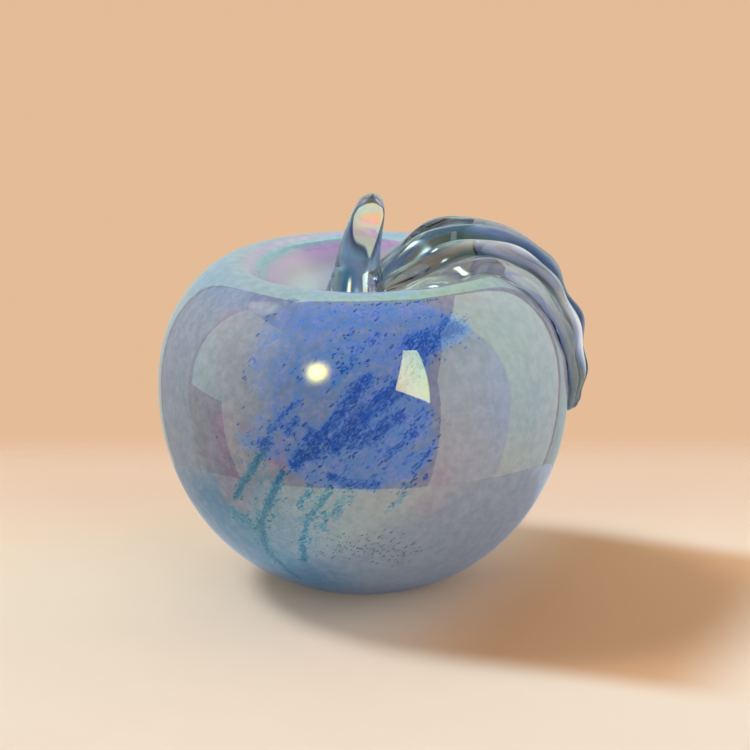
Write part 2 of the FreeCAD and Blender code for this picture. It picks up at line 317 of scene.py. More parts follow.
# The round lamp and the window, placed where the body mirrors them as (azimuth, height)
ROUND_LAMP_PLACE = (-13.0, 64.3)
ROUND_LAMP_SIZE = 0.58
ROUND_LAMP_TALL = 1.3
ROUND_LAMP_GLOW = 10.0
ROUND_LAMP_COLOUR = (0.84, 1.0, 0.92)
ROUND_LAMP_STEPS = 25
WINDOW_PLACES = ((11.7, 68.8), (15.8, 68.7), (18.0, 57.2), (8.6, 60.6))
WINDOW_GLOW = (2.5, 2.5, 2.9, 2.9)
WINDOW_COLOUR = (0.88, 1.0, 0.98)

# Key lamp, as (azimuth, elevation) round the body
KEY_PLACE = (-112, 52)
KEY_DISTANCE = 1.2
KEY_SIZE = 0.28
KEY_COLOUR = (0.84, 0.93, 1.0)

# Room: its even light, and how its mirrored brightness rises from the front to the back
ROOM_COLOUR = (0.98, 0.92, 0.86)
MIRRORED_ROOM = (-0.35, 0.75, 0.10, 0.42)

# Floor: paler or warmer tones, where they rise in metres to the right and to the back, and its end
FLOOR_STEPS = 96
FLOOR_MOTTLE = (0.80, 0.58, 0.42)
RIGHT_TONE = (0.95, 0.75, 0.59)
RIGHT_RISE = (-0.02, 0.10)
BACK_TONE = (0.84, 0.58, 0.42)
BACK_RISE = (-0.02, 0.08)
BACK_END = (0.075, 0.120)
FADE_SHARES = (0.45, 0.95)

# Painted shadow: a warm tone inside the long shadow, its way and side, and where it starts, ends and thins to
# the sides
PAINTED_SHADOW_TONE = (0.74, 0.41, 0.22)
SHADOW_WAY = (0.927, -0.375, 0.0)
SHADOW_SIDE = (0.375, 0.927, 0.0)
SHADOW_START = (0.01, 0.05)
SHADOW_END = (0.115, 0.085)
SHADOW_EDGE = (0.054, 0.040)

# The floor as the glass mirrors it: tints at the middle and at the left, and where the table ends
MIRRORED_TINT = (0.54, 0.64, 0.84)
MIRRORED_LEFT_TINT = (0.16, 0.24, 0.36)
MIRRORED_LEFT_RISE = (-0.02, -0.08)
MIRRORED_STRENGTH = 0.8
MIRRORED_TABLE_END = (0.092, 0.093)

# Cards round the body: corners as (azimuth, elevation), the brightness at each, and the colour
CARD_DISTANCE = 1.0
CARDS = {
    "back_sweep_card": (((135, -40), (-157, -40), (-131, 64), (150, 62)), (0.32, 0.32, 1.28, 1.28),
                        (0.84, 1.0, 0.90)),
    "right_card": (((39, -46), (84, -46), (86, 20), (42, 20)), (0.50, 0.52, 0.90, 0.86),
                   (0.88, 0.84, 1.34)),
    "right_top_card": (((42, 20), (86, 20), (88, 55), (64, 51)), (0.86, 0.90, 0.80, 0.50),
                       (0.88, 0.86, 1.22)),
    "right_back_card": (((84, -46), (133, -38), (138, 20), (86, 20)), (0.56, 0.58, 1.2, 1.2),
                        (1.12, 1.0, 0.86)),
    "right_high_card": (((86, 20), (138, 20), (142, 52), (88, 55)), (1.2, 1.2, 1.1, 1.0),
                        (1.08, 1.0, 0.88)),
    "left_card": (((-107, -4), (-48, -4), (-56, 50), (-113, 44)), (0.78, 0.10, 0.16, 0.78),
                  (1.0, 0.98, 0.95)),
    "left_low_card": (((-79, -36), (-48, -40), (-48, -4), (-82, -4)), (0.45, 0.08, 0.10, 0.55),
                      (1.0, 0.98, 0.95)),
    "left_back_card": (((-152, -30), (-107, -40), (-113, 44), (-140, 46)), (0.32, 0.34, 0.50, 0.50),
                       (1.0, 0.94, 0.97)),
}


class GlassAppleBody(PropertyGroup):
    """Sizes of the blown body."""
    body_radius: FloatProperty(name="Body radius", description="Half the width of the body",
                               default=0.050, min=0.01, unit="LENGTH")
    body_height: FloatProperty(name="Body height", description="From the foot to the lip of the dimple",
                               default=0.0791, min=0.01, unit="LENGTH")
    lip_radius: FloatProperty(name="Lip radius", description="Radius where the shoulder is highest",
                              default=0.031, min=0.001, unit="LENGTH")
    dimple_depth: FloatProperty(name="Dimple depth", description="From the lip to the floor of the dimple",
                                default=0.0149, min=0.001, unit="LENGTH")
    equator_height: FloatProperty(name="Equator height", description="Height of the widest place",
                                  default=0.049, min=0.001, unit="LENGTH")
    foot_radius: FloatProperty(name="Foot radius", description="Radius of the flat foot",
                               default=0.0173, min=0.001, unit="LENGTH")
    casing_wall: FloatProperty(name="Casing wall", description="Clear glass over the colour",
                               default=0.0026, min=0.0001, unit="LENGTH")
    colour_wall: FloatProperty(name="Colour coat", description="Thickness of the colour coat",
                               default=0.0009, min=0.0001, unit="LENGTH")
    foot_wall: FloatProperty(name="Foot wall", description="Glass over the flat foot",
                             default=0.0055, min=0.0001, unit="LENGTH")
    casing_lap: FloatProperty(name="Casing lap", description="How far the casing reaches into the coat",
                              default=0.0002, min=0.0, unit="LENGTH")
    round_steps: IntProperty(name="Steps round", description="Faces round the body", default=320, min=16)
    outline_steps: IntProperty(name="Steps down", description="Faces down the outline", default=170, min=16)


class GlassAppleStem(PropertyGroup):
    """Sizes of the drawn stem."""
    stem_height: FloatProperty(name="Stem height", description="From the dimple floor to the tip",
                               default=0.0315, min=0.001, unit="LENGTH")
    stem_foot_radius: FloatProperty(name="Stem foot radius", description="Half width where it meets the body",
                                    default=0.0104, min=0.001, unit="LENGTH")
    stem_lean: FloatProperty(name="Stem lean", description="How far the tip leans to the right",
                             default=0.0023, unit="LENGTH")
    stem_seat: FloatProperty(name="Stem seat", description="How far the foot sinks before it is bedded",
                             default=0.0006, min=0.0, unit="LENGTH")
    paddle_press: FloatProperty(name="Paddle press", description="Share by which the upper half is pressed",
                                default=0.12, min=0.0, max=0.6)


class GlassAppleLeaf(PropertyGroup):
    """Sizes of the applied leaf."""
    leaf_azimuth: FloatProperty(name="Leaf turn", description="How far the leaf is turned to the back",
                                default=math.radians(3), subtype="ANGLE")
    leaf_width: FloatProperty(name="Leaf width", description="Greatest width", default=0.029, min=0.001,
                              unit="LENGTH")
    leaf_thickness: FloatProperty(name="Leaf thickness", description="Greatest height of the ribs",
                                  default=0.0088, min=0.001, unit="LENGTH")
    leaf_bed: FloatProperty(name="Leaf bed", description="Glass under the spine where it bridges the dimple",
                            default=0.003, min=0.0001, unit="LENGTH")
    root_radius: FloatProperty(name="Root radius", description="Where the leaf starts in the stem",
                               default=0.003, min=0.0, unit="LENGTH")
    root_rise: FloatProperty(name="Root rise", description="Height of the root over the dimple floor",
                             default=0.007, min=0.0, unit="LENGTH")
    bridge_rise: FloatProperty(name="Bridge rise", description="Arch of the leaf over the dimple",
                               default=0.0016, unit="LENGTH")
    tip_height: FloatProperty(name="Tip height", description="Height of the leaf's tip",
                              default=0.0412, min=0.001, unit="LENGTH")
    leaf_sag: FloatProperty(name="Leaf sag", description="How far the near edge sags into the dimple",
                            default=0.005, min=0.0, unit="LENGTH")
    scallop_depth: FloatProperty(name="Scallop depth", description="Waves of the edge near the tip",
                                 default=0.0013, min=0.0, unit="LENGTH")
    scallop_start: FloatProperty(name="Scallop start", description="Share of the length", default=0.655)
    scallop_pitch: FloatProperty(name="Scallop pitch", description="Share of the length", default=0.15)
    along_steps: IntProperty(name="Steps along", description="Faces along the leaf", default=260, min=16)
    across_steps: IntProperty(name="Steps across", description="Faces round its section", default=180, min=16)


class GlassAppleFinish(PropertyGroup):
    """Colours of the glass."""
    ground_colour: FloatVectorProperty(name="Lavender ground", description="Pale ground under the casing",
                                       subtype="COLOR", size=3, default=(0.32, 0.37, 0.46))
    low_colour: FloatVectorProperty(name="Low grey", description="Cooler shade towards the foot",
                                    subtype="COLOR", size=3, default=(0.30, 0.43, 0.60))
    deep_colour: FloatVectorProperty(name="Deep blue", description="Blue shade low on the left",
                                     subtype="COLOR", size=3, default=(0.04, 0.25, 0.55))
    slate_colour: FloatVectorProperty(name="Slate blue", description="Thin cobalt frit over the ground",
                                      subtype="COLOR", size=3, default=(0.16, 0.38, 0.76))
    violet_colour: FloatVectorProperty(name="Violet", description="Thin cobalt frit over rose",
                                       subtype="COLOR", size=3, default=(0.20, 0.33, 0.82))
    cobalt_colour: FloatVectorProperty(name="Cobalt", description="Dense cobalt frit",
                                       subtype="COLOR", size=3, default=(0.004, 0.140, 0.62))
    navy_colour: FloatVectorProperty(name="Navy", description="Densest cobalt frit",
                                     subtype="COLOR", size=3, default=(0.006, 0.070, 0.42))
    aqua_colour: FloatVectorProperty(name="Aqua", description="Aqua frit trails",
                                     subtype="COLOR", size=3, default=(0.005, 0.17, 0.42))
    pale_aqua_colour: FloatVectorProperty(name="Pale aqua", description="Thin aqua frit",
                                          subtype="COLOR", size=3, default=(0.06, 0.31, 0.55))
    rose_colour: FloatVectorProperty(name="Rose", description="Rose blotches",
                                     subtype="COLOR", size=3, default=(0.40, 0.24, 0.38))
    speck_colour: FloatVectorProperty(name="Speck", description="Dark chips",
                                      subtype="COLOR", size=3, default=(0.05, 0.13, 0.18))


class GlassAppleStage(PropertyGroup):
    """Floor and lamps."""
    floor_colour: FloatVectorProperty(name="Floor", description="Pale floor", subtype="COLOR", size=3,
                                      default=(0.94, 0.75, 0.585))
    wall_colour: FloatVectorProperty(name="Background", description="Background behind the floor",
                                     subtype="COLOR", size=3, default=(0.775, 0.503, 0.314))
    floor_radius: FloatProperty(name="Floor radius", description="Where the floor has faded away",
                                default=0.40, min=0.1, unit="LENGTH")
    key_brightness: FloatProperty(name="Key brightness", description="Radiance of the key lamp", default=36.0)
    room_brightness: FloatProperty(name="Room light", description="Warm light from all round", default=0.42)


# Surfaces worked out with numpy


def cubic_curve(points, start, end, marks_count):
    """Smooth curve through points, read at even marks, as (places, unit directions).

    Between neighbours it is a cubic in the running chord length. The slopes make the second
    derivatives equal where two cubics meet, and the first and last slopes are given.
    """
    points = np.asarray(points, float)
    chords = np.linalg.norm(np.diff(points, axis=0), axis=1)
    marks = np.concatenate([[0.0], np.cumsum(chords)])
    count = len(points)
    system = np.eye(count)
    wanted = np.zeros_like(points)
    wanted[0], wanted[-1] = start, end
    inner = np.arange(1, count - 1)
    before, after = chords[:-1, None], chords[1:, None]
    steps = np.diff(points, axis=0)
    system[inner, inner - 1] = chords[1:]
    system[inner, inner] = 2 * (chords[:-1] + chords[1:])
    system[inner, inner + 1] = chords[:-1]
    wanted[1:-1] = 3 * (after * steps[:-1] / before + before * steps[1:] / after)
    slopes = np.linalg.solve(system, wanted)
    read = np.linspace(0.0, marks[-1], marks_count)
    index = np.clip(np.searchsorted(marks, read, side="right") - 1, 0, count - 2)
    width = chords[index][:, None]
    blend = ((read - marks[index]) / chords[index])[:, None]
    near, far = points[index], points[index + 1]
    near_slope, far_slope = slopes[index] * width, slopes[index + 1] * width
    places = (near * (1 + 2 * blend) * (1 - blend) ** 2 + far * blend ** 2 * (3 - 2 * blend)
              + near_slope * blend * (1 - blend) ** 2 - far_slope * blend ** 2 * (1 - blend))
    rates = ((6 * blend ** 2 - 6 * blend) * (near - far)
             + near_slope * (1 - 4 * blend + 3 * blend ** 2) + far_slope * (3 * blend ** 2 - 2 * blend))
    return places, rates / np.linalg.norm(rates, axis=1)[:, None]


def natural_weights(marks, read):
    """Matrix that takes values at marks to a smooth curve's values at other marks.

    It is the cubic through the values with equal second derivatives where pieces meet and
    none at the ends, so one matrix serves every row of a surface.
    """
    marks, read = np.asarray(marks, float), np.asarray(read, float)
    gaps = np.diff(marks)
    count = len(marks)
    inner = np.arange(1, count - 1)
    system = np.eye(count)
    system[inner, inner - 1] = gaps[:-1]
    system[inner, inner] = 2 * (gaps[:-1] + gaps[1:])
    system[inner, inner + 1] = gaps[1:]
    bends = np.zeros((count, count))
    bends[inner, inner - 1] = 6 / gaps[:-1]
    bends[inner, inner] = -6 / gaps[:-1] - 6 / gaps[1:]
    bends[inner, inner + 1] = 6 / gaps[1:]
    second = np.linalg.solve(system, bends)
    index = np.clip(np.searchsorted(marks, read, side="right") - 1, 0, count - 2)
    gap = gaps[index][:, None]
    far = ((read - marks[index]) / gaps[index])[:, None]
    near = 1 - far
    whole = np.eye(count)
    return (near * whole[index] + far * whole[index + 1]
            + gap ** 2 / 6 * ((near ** 3 - near) * second[index] + (far ** 3 - far) * second[index + 1]))


def smooth_step(low, high, values):
    """0 below low, 1 above high, and an even rise between."""
    share = np.clip((values - low) / (high - low), 0, 1)
    return share * share * (3 - 2 * share)


def body_stations(sizes):
    """Points of the outer outline as (radius, height), from the dimple floor to the foot."""
    floor = sizes.body_height - sizes.dimple_depth
    return [
        (0.0, floor),
        (sizes.lip_radius * DIMPLE_WALL_SHARES[0], floor + sizes.dimple_depth * DIMPLE_WALL_SHARES[1]),
        (sizes.lip_radius, sizes.body_height),
        (sizes.lip_radius + (sizes.body_radius - sizes.lip_radius) * SHOULDER_SHARES[0],
         sizes.equator_height + (sizes.body_height - sizes.equator_height) * SHOULDER_SHARES[1]),
        (sizes.body_radius, sizes.equator_height),
        (sizes.foot_radius + (sizes.body_radius - sizes.foot_radius) * BELLY_SHARES[0],
         sizes.equator_height * BELLY_SHARES[1]),
        (sizes.foot_radius, 0.0),
    ]


def body_outline(sizes, count):
    """Places and directions at even marks down the outer outline, a smooth curve through its stations."""
    return cubic_curve(body_stations(sizes), (1, 0), FOOT_RUN, count)


def coat_outline(sizes, depth, count):
    """Outline a given depth under the surface, with thick glass left over the foot."""
    places, runs = body_outline(sizes, COAT_STEPS * 10 + 1)
    reach = np.linspace(0, COAT_REACH * COAT_STEPS * 10, COAT_STEPS + 1)
    at = np.arange(len(places))
    read = [np.interp(reach, at, values) for values in (*places.T, *runs.T)]
    points = np.stack([read[0] + read[3] * depth, read[1] - read[2] * depth], axis=1)
    points = np.vstack([points, (0.0, sizes.foot_wall + depth - sizes.casing_wall)])
    return cubic_curve(points, (1, 0), (-1, 0), count)[0]


def turned_points(outline, steps):
    """Points of an outline turned about Z: radius times the cosine and sine of the turn, and height."""
    turn = np.linspace(0, 2 * np.pi, steps, endpoint=False) - np.pi / 2
    radius, height = outline[:, 0][:, None], outline[:, 1][:, None]
    return np.stack([radius * np.cos(turn), radius * np.sin(turn), height + 0 * turn], axis=-1)


def grid_faces(rows, columns, flip=False):
    """Quads between neighbouring rows, closed round the columns."""
    row, column = np.meshgrid(np.arange(rows - 1), np.arange(columns), indexing="ij")
    beside = (column + 1) % columns
    corners = np.stack([row * columns + column, (row + 1) * columns + column,
                        (row + 1) * columns + beside, row * columns + beside], axis=-1)
    corners = corners.reshape(-1, 4)
    return corners[:, ::-1] if flip else corners


def fan_faces(pole, ring, flip=False):
    """Triangles from one pole to a closed ring of points."""
    faces = np.stack([np.full(len(ring), pole), ring, np.roll(ring, -1)], axis=-1)
    return faces[:, ::-1] if flip else faces


def closed_rings(rings, poles, flip=False):
    """Vertices, quads and triangles of rows of closed rings, with a fan to a pole at each end."""
    rows, columns = rings.shape[:2]
    points = rings.reshape(-1, 3)
    first = np.arange(columns)
    last = first + (rows - 1) * columns
    fans = [fan_faces(len(points), first, flip), fan_faces(len(points) + 1, last, not flip)]
    return np.vstack([points, poles]), grid_faces(rows, columns, flip), np.vstack(fans)


def turned_shell(outline, steps, inward):
    """Shell of an outline turned about Z, with one point at each pole.

    Faces look out of the solid, or into it when inward is true.
    """
    poles = [(0, 0, outline[0, 1]), (0, 0, outline[-1, 1])]
    return closed_rings(turned_points(outline[1:-1], steps), poles, inward)


def make_piece(name, parts, material):
    """Smooth mesh object from (vertices, quads, triangles) parts, riding on the one body."""
    vertices, loops, starts, start = [], [], [], 0
    for points, quads, triangles in parts:
        loops += [(quads + start).ravel(), (triangles + start).ravel()]
        starts += [np.full(len(quads), 4), np.full(len(triangles), 3)]
        vertices.append(points)
        start += len(points)
    vertices, loops, sizes = np.vstack(vertices), np.concatenate(loops), np.concatenate(starts)
    mesh = bpy.data.meshes.new(name)
    mesh.vertices.add(len(vertices))
    mesh.vertices.foreach_set("co", vertices.astype(np.float32).ravel())
    mesh.loops.add(len(loops))
    mesh.loops.foreach_set("vertex_index", loops.astype(np.int32))
    mesh.polygons.add(len(sizes))
    mesh.polygons.foreach_set("loop_start", (np.cumsum(sizes) - sizes).astype(np.int32))
    mesh.update(calc_edges=True)
    mesh.validate()
    mesh.shade_smooth()
    mesh.materials.append(material)
    piece = bpy.data.objects.new(name, mesh)
    bpy.context.scene.collection.objects.link(piece)
    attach(piece, "root")
    return piece


def paint(piece, name, values):
    """Store one number or one colour at every vertex."""
    values = np.asarray(values, np.float32)
    if values.ndim == 1:
        layer = piece.data.attributes.new(name, "FLOAT", "POINT")
        layer.data.foreach_set("value", values)
        return
    layer = piece.data.attributes.new(name, "FLOAT_COLOR", "POINT")
    layer.data.foreach_set("color", np.hstack([values, np.ones((len(values), 1))]).astype(np.float32).ravel())


def paint_rings(piece, name, values, pole_value):
    """Paint a tube: values on the points of its rings, and one value on both of its poles."""
    flat = values.reshape(-1, *values.shape[2:])
    paint(piece, name, np.concatenate([flat, np.full((2, *flat.shape[1:]), pole_value)]))


def tinted(colours, share, tint):
    """Colours taken towards a tint, by a share at each point."""
    share = share[..., None]
    return colours * (1 - share) + np.array(tint) * share


def placed(places, outline):
    """Points in space from (azimuth, height) places on a turned outline."""
    places = np.asarray(places, float)
    outer = outline[int(np.argmax(outline[:, 1])):]
    radius = np.interp(-places[:, 1] * MM, -outer[:, 1], outer[:, 0])
    turn = np.radians(places[:, 0])
    return np.stack([radius * np.sin(turn), -radius * np.cos(turn), places[:, 1] * MM], axis=1)


def line_distance(points, line):
    """Least distance from each point to a run of straight lines."""
    least = np.full(len(points), np.inf)
    for near, far in zip(line[:-1], line[1:]):
        run = far - near
        share = np.clip((points - near) @ run / (run @ run), 0, 1)
        least = np.minimum(least, np.linalg.norm(points - near - share[:, None] * run, axis=1))
    return least


def marks_mask(points, marks, outline):
    """Strongest of several strokes at each point: each fades out evenly over its own width."""
    mask = np.zeros(len(points))
    for places, width, strength in marks:
        distance = line_distance(points, placed(places, outline))
        mask = np.maximum(mask, strength * (1 - smooth_step(*STROKE_FADE, distance / (width * MM))))
    return mask


def inside_outline(points, places):
    """1 inside a closed run of (azimuth, height) places and 0 outside, by counting crossings."""
    azimuth = np.degrees(np.arctan2(points[:, 0], -points[:, 1]))
    height = points[:, 2] / MM
    corners = np.asarray(places, float)
    inside = np.zeros(len(points), bool)
    for near, far in zip(corners, np.roll(corners, -1, axis=0)):
        spans = (near[1] > height) != (far[1] > height)
        rise = far[1] - near[1]
        if rise:
            crossing = near[0] + (height - near[1]) / rise * (far[0] - near[0])
            inside ^= spans & (azimuth < crossing)
    return inside


def outline_under(points, outline):
    """Each point as (radius, height), the outline's place nearest to it, and the way out there."""
    flat = np.stack([np.hypot(points[:, 0], points[:, 1]), points[:, 2]], axis=1)
    runs = np.gradient(outline, axis=0)
    runs /= np.linalg.norm(runs, axis=1)[:, None]
    nearest = np.argmin(((flat[:, None, :] - outline[None, :, :]) ** 2).sum(axis=2), axis=1)
    return flat, outline[nearest], np.stack([-runs[nearest, 1], runs[nearest, 0]], axis=1)


def bedded_tube(body, rings, flip=False):
    """Closed tube of rings, with its lower side on a bed just under the body's surface.

    A point that lies deeper than the bed moves the way out, by as much as it lies too deep.
    """
    points = rings.reshape(-1, 3).copy()
    flat, under, out = outline_under(points, body_outline(body, BED_MARKS)[0])
    rise = ((flat - under) * out).sum(axis=1)
    moved = np.maximum(-BED_DEPTH - rise, 0)[:, None] * out
    points[:, :2] += moved[:, :1] * points[:, :2] / np.maximum(flat[:, :1], 1e-9)
    points[:, 2] += moved[:, 1]
    rings = points.reshape(rings.shape)
    return closed_rings(rings, [rings[0].mean(axis=0), rings[-1].mean(axis=0)], flip)


def eased(shares, share):
    """Smooth curve through evenly spaced shares, with slopes from the neighbours on both sides."""
    shares = np.asarray(shares, float)
    last = len(shares) - 1
    place = share * last
    index = np.clip(place.astype(int), 0, last - 1)
    blend = place - index
    near, far = shares[index], shares[index + 1]
    near_slope = (far - shares[np.maximum(index - 1, 0)]) / 2
    far_slope = (shares[np.minimum(index + 2, last)] - near) / 2
    return (near * (1 + 2 * blend) * (1 - blend) ** 2 + far * blend ** 2 * (3 - 2 * blend)
            + near_slope * blend * (1 - blend) ** 2 - far_slope * blend ** 2 * (1 - blend))


def leaf_spine(body, leaf, share):
    """Bed line of the leaf at shares of its length, as x, z and the direction's x and z.

    It is a smooth curve from the stem across the dimple, then down the body's outline.
    """
    crest, shoulder, equator, belly = body_stations(body)[2:6]
    root = (leaf.root_radius, body.body_height - body.dimple_depth + leaf.root_rise)
    bridge = [(root[0] + (crest[0] - root[0]) * across,
               root[1] + (body.body_height - root[1]) * up + leaf.bridge_rise * arch)
              for across, up, arch in LEAF_BRIDGE]
    drop = (equator[1] - leaf.tip_height) / (equator[1] - belly[1])
    tip = (body.body_radius + (belly[0] - body.body_radius) * drop ** 2, leaf.tip_height)
    spine, runs = cubic_curve([root] + bridge + [crest, shoulder, equator, tip],
                              LEAF_ROOT_RUN, LEAF_TIP_RUN, LEAF_SPINE_MARKS)
    at = np.linspace(0, 1, LEAF_SPINE_MARKS)
    return [np.interp(share, at, values)[:, None] for values in (*spine.T, *runs.T)]


def leaf_section(leaf, half_width, crown):
    """Places across a closed section, and the rise of its ribs and of its underside, as shares.

    It is one smooth curve through both, marked by its running length at a given width and crown.
    """
    ridges, below = np.array(LEAF_RIDGES), np.array(LEAF_UNDERSIDE)
    middle = len(below) // 2
    across, rise = np.vstack([below[middle:], ridges, below[:middle + 1]]).T
    is_ridge = np.concatenate([np.zeros(len(below) - middle), np.ones(len(ridges)), np.zeros(middle + 1)])
    heights = np.where(is_ridge, rise * crown, rise * leaf.leaf_bed)
    steps = np.hypot(np.diff(across * half_width), np.diff(heights))
    marks = np.concatenate([[0.0], np.cumsum(steps)])
    read = np.linspace(0, marks[-1], leaf.across_steps, endpoint=False)
    weights = natural_weights(marks, read)
    return weights @ across, weights @ (rise * is_ridge), weights @ (rise * (1 - is_ridge))


def leaf_points(body, leaf):
    """Ribbed ribbon: at each place along a spine, a closed section across it.

    Across runs along Y, ribs rise along the outward normal of the spine, and both are scaled by
    the widths and crowns along the leaf, with waves near the tip. Rows lie along the spine.
    """
    share = np.linspace(0, 1, leaf.along_steps)
    to_tip = (share - LEAF_TIP_START) / (1 - LEAF_TIP_START)
    share = np.where(to_tip > 0, LEAF_TIP_START + (1 - LEAF_TIP_START) * np.sin(to_tip * np.pi / 2), share)
    past = np.maximum(share - LEAF_TIP_START, 0) / (1 - LEAF_TIP_START)
    rounding = np.maximum(np.sqrt(np.maximum(1 - past ** 2, 0)), LEAF_TIP_LEAST)
    wave = (1 - np.cos(2 * np.pi * (share - leaf.scallop_start) / leaf.scallop_pitch)) / 2
    onset = np.clip((share - leaf.scallop_start) / leaf.scallop_pitch + 1, 0, 1)
    scallop = leaf.scallop_depth * wave * onset
    half_width = (leaf.leaf_width / 2 * eased(LEAF_WIDTHS, share) + scallop) * rounding
    crown = (leaf.leaf_thickness * eased(LEAF_CROWNS, share) + scallop) * rounding
    across, ribs, underside = leaf_section(leaf, half_width.mean(), crown.mean())
    across_share = across + eased(LEAF_DRIFTS, share)[:, None] * (1 - across ** 2)
    y = across_share * half_width[:, None]
    lift = ribs * crown[:, None] + underside * (leaf.leaf_bed * rounding)[:, None]
    on_top = smooth_step(0.05, 0.5, ribs) * rounding[:, None]
    for turns_across, turns_along, phase, height in LEAF_WAVES:
        turn = 2 * np.pi * (turns_across * across + turns_along * share[:, None]) + phase
        lift = lift + on_top * height * MM * np.sin(turn)
    middle_x, middle_z, run_x, run_z = leaf_spine(body, leaf, share)
    out_x, out_z = -run_z, run_x
    wrap = y ** 2 / (2 * body.body_radius) * np.maximum(out_x, 0)
    near_drop = leaf.leaf_sag * eased(LEAF_SAGS, share)[:, None] * np.minimum(across_share, 0) ** 2
    lift = lift - wrap - near_drop
    x, z = middle_x + out_x * lift, middle_z + out_z * lift
    cosine, sine = math.cos(leaf.leaf_azimuth), math.sin(leaf.leaf_azimuth)
    rings = np.stack([x * cosine - y * sine, x * sine + y * cosine, z], axis=-1)
    return rings, across, share, ribs > 0


def stem_points(body, stem, rows, columns):
    """Sections carried up a leaning line: ovals below, and squarer and thinner where it is pressed.

    Across and depth are a power of the cosine and sine, and the squared width is smooth, for a round tip.
    """
    sections = np.array(STEM_SECTIONS)
    sections = np.vstack([(-stem.stem_seat / stem.stem_height, *sections[0, 1:]), sections])
    rise = np.linspace(0, 1, rows)
    rise = sections[0, 0] + (1 - sections[0, 0]) * np.sin(rise * np.pi / 2)
    sections[:, 2] **= 2
    centre, square, ratio = (natural_weights(sections[:, 0], rise) @ sections[:, 1:]).T
    width = np.sqrt(np.maximum(square, 1e-5)) * stem.stem_foot_radius
    turn = np.linspace(0, 2 * np.pi, columns, endpoint=False)
    floor = body.body_height - body.dimple_depth
    paddle = smooth_step(*PADDLE_START, rise) * (1 - smooth_step(*PADDLE_END, rise))
    power = (1 / (1 + PADDLE_SQUARENESS * paddle))[:, None]
    wide = np.sign(np.cos(turn)) * np.abs(np.cos(turn)) ** power
    deep = np.sign(np.sin(turn)) * np.abs(np.sin(turn)) ** power
    x = stem.stem_lean * centre[:, None] + width[:, None] * wide
    pressed = 1 - stem.paddle_press * paddle[:, None]
    y = (width * ratio)[:, None] * deep * pressed
    z = floor + stem.stem_height * rise[:, None] + 0 * x
    return np.stack([x, y, z], axis=-1), rise, turn


# Materials


def fill(tree, socket, value):
    """Link another node's output to an input, or set the input to a value."""
    if isinstance(value, bpy.types.NodeSocket):
        tree.links.new(value, socket)
    else:
        socket.default_value = value


def add_node(tree, kind, settings=None, **inputs):
    """New shader node with its settings, and its inputs filled by name, or by number as i0, i1 and i2."""
    node = tree.nodes.new(kind)
    for name, value in (settings or {}).items():
        setattr(node, name, value)
    for name, value in inputs.items():
        by_number = name[0] == "i" and name[1:].isdigit()
        fill(tree, node.inputs[int(name[1:]) if by_number else name.replace("_", " ")], value)
    return node


def colour4(colour):
    """A colour with full alpha."""
    return (*colour[:3], 1.0)


def new_material(name):
    """New material and its empty node tree."""
    material = bpy.data.materials.new(name)
    material.use_nodes = True
    material.node_tree.nodes.clear()
    return material, material.node_tree


def new_group(name, inputs, outputs):
    """Empty shader node group with named sockets, given as (name, kind, default)."""
    group = bpy.data.node_groups.new(name, "ShaderNodeTree")
    for socket_name, kind, default in inputs:
        socket = group.interface.new_socket(socket_name, in_out="INPUT", socket_type=kind)
        if default is not None:
            socket.default_value = default
    for socket_name, kind in outputs:
        group.interface.new_socket(socket_name, in_out="OUTPUT", socket_type=kind)
    entry = group.nodes.new("NodeGroupInput")
    leave = group.nodes.new("NodeGroupOutput")
    return group, entry.outputs, leave.inputs


def maths(tree, operation, first, second=0.0, clamp=False):
    """Result of an operation on two numbers or outputs."""
    return add_node(tree, "ShaderNodeMath", {"operation": operation, "use_clamp": clamp},
                    i0=first, i1=second).outputs[0]


def mix_colours(tree, share, first, second):
    """Colour a share of the way between two, each three numbers or an output."""
    node = add_node(tree, "ShaderNodeMix", {"data_type": "RGBA"}, Factor=share)
    for socket, colour in ((node.inputs[6], first), (node.inputs[7], second)):
        fill(tree, socket, colour if isinstance(colour, bpy.types.NodeSocket) else colour4(colour))
    return node.outputs[2]


def ramp(tree, value, low, high, to_low=0.0, to_high=1.0):
    """Even rise from one number to another, while a value goes from low to high."""
    return add_node(tree, "ShaderNodeMapRange", {"interpolation_type": "SMOOTHSTEP"}, Value=value,
                    From_Min=low, From_Max=high, To_Min=to_low, To_Max=to_high).outputs["Result"]


def soft_noise(tree, place, scale, detail, **more):
    """Noise in space, about 0.5 on average."""
    return add_node(tree, "ShaderNodeTexNoise", {"noise_dimensions": "3D"}, Vector=place, Scale=scale,
                    Detail=detail, **more).outputs["Fac"]


def opaque(tree, colour, roughness, specular=0.5):
    """Surface of a colour that light doesn't pass."""
    return add_node(tree, "ShaderNodeBsdfPrincipled", Base_Color=colour, Roughness=roughness,
                    Specular_IOR_Level=specular).outputs[0]


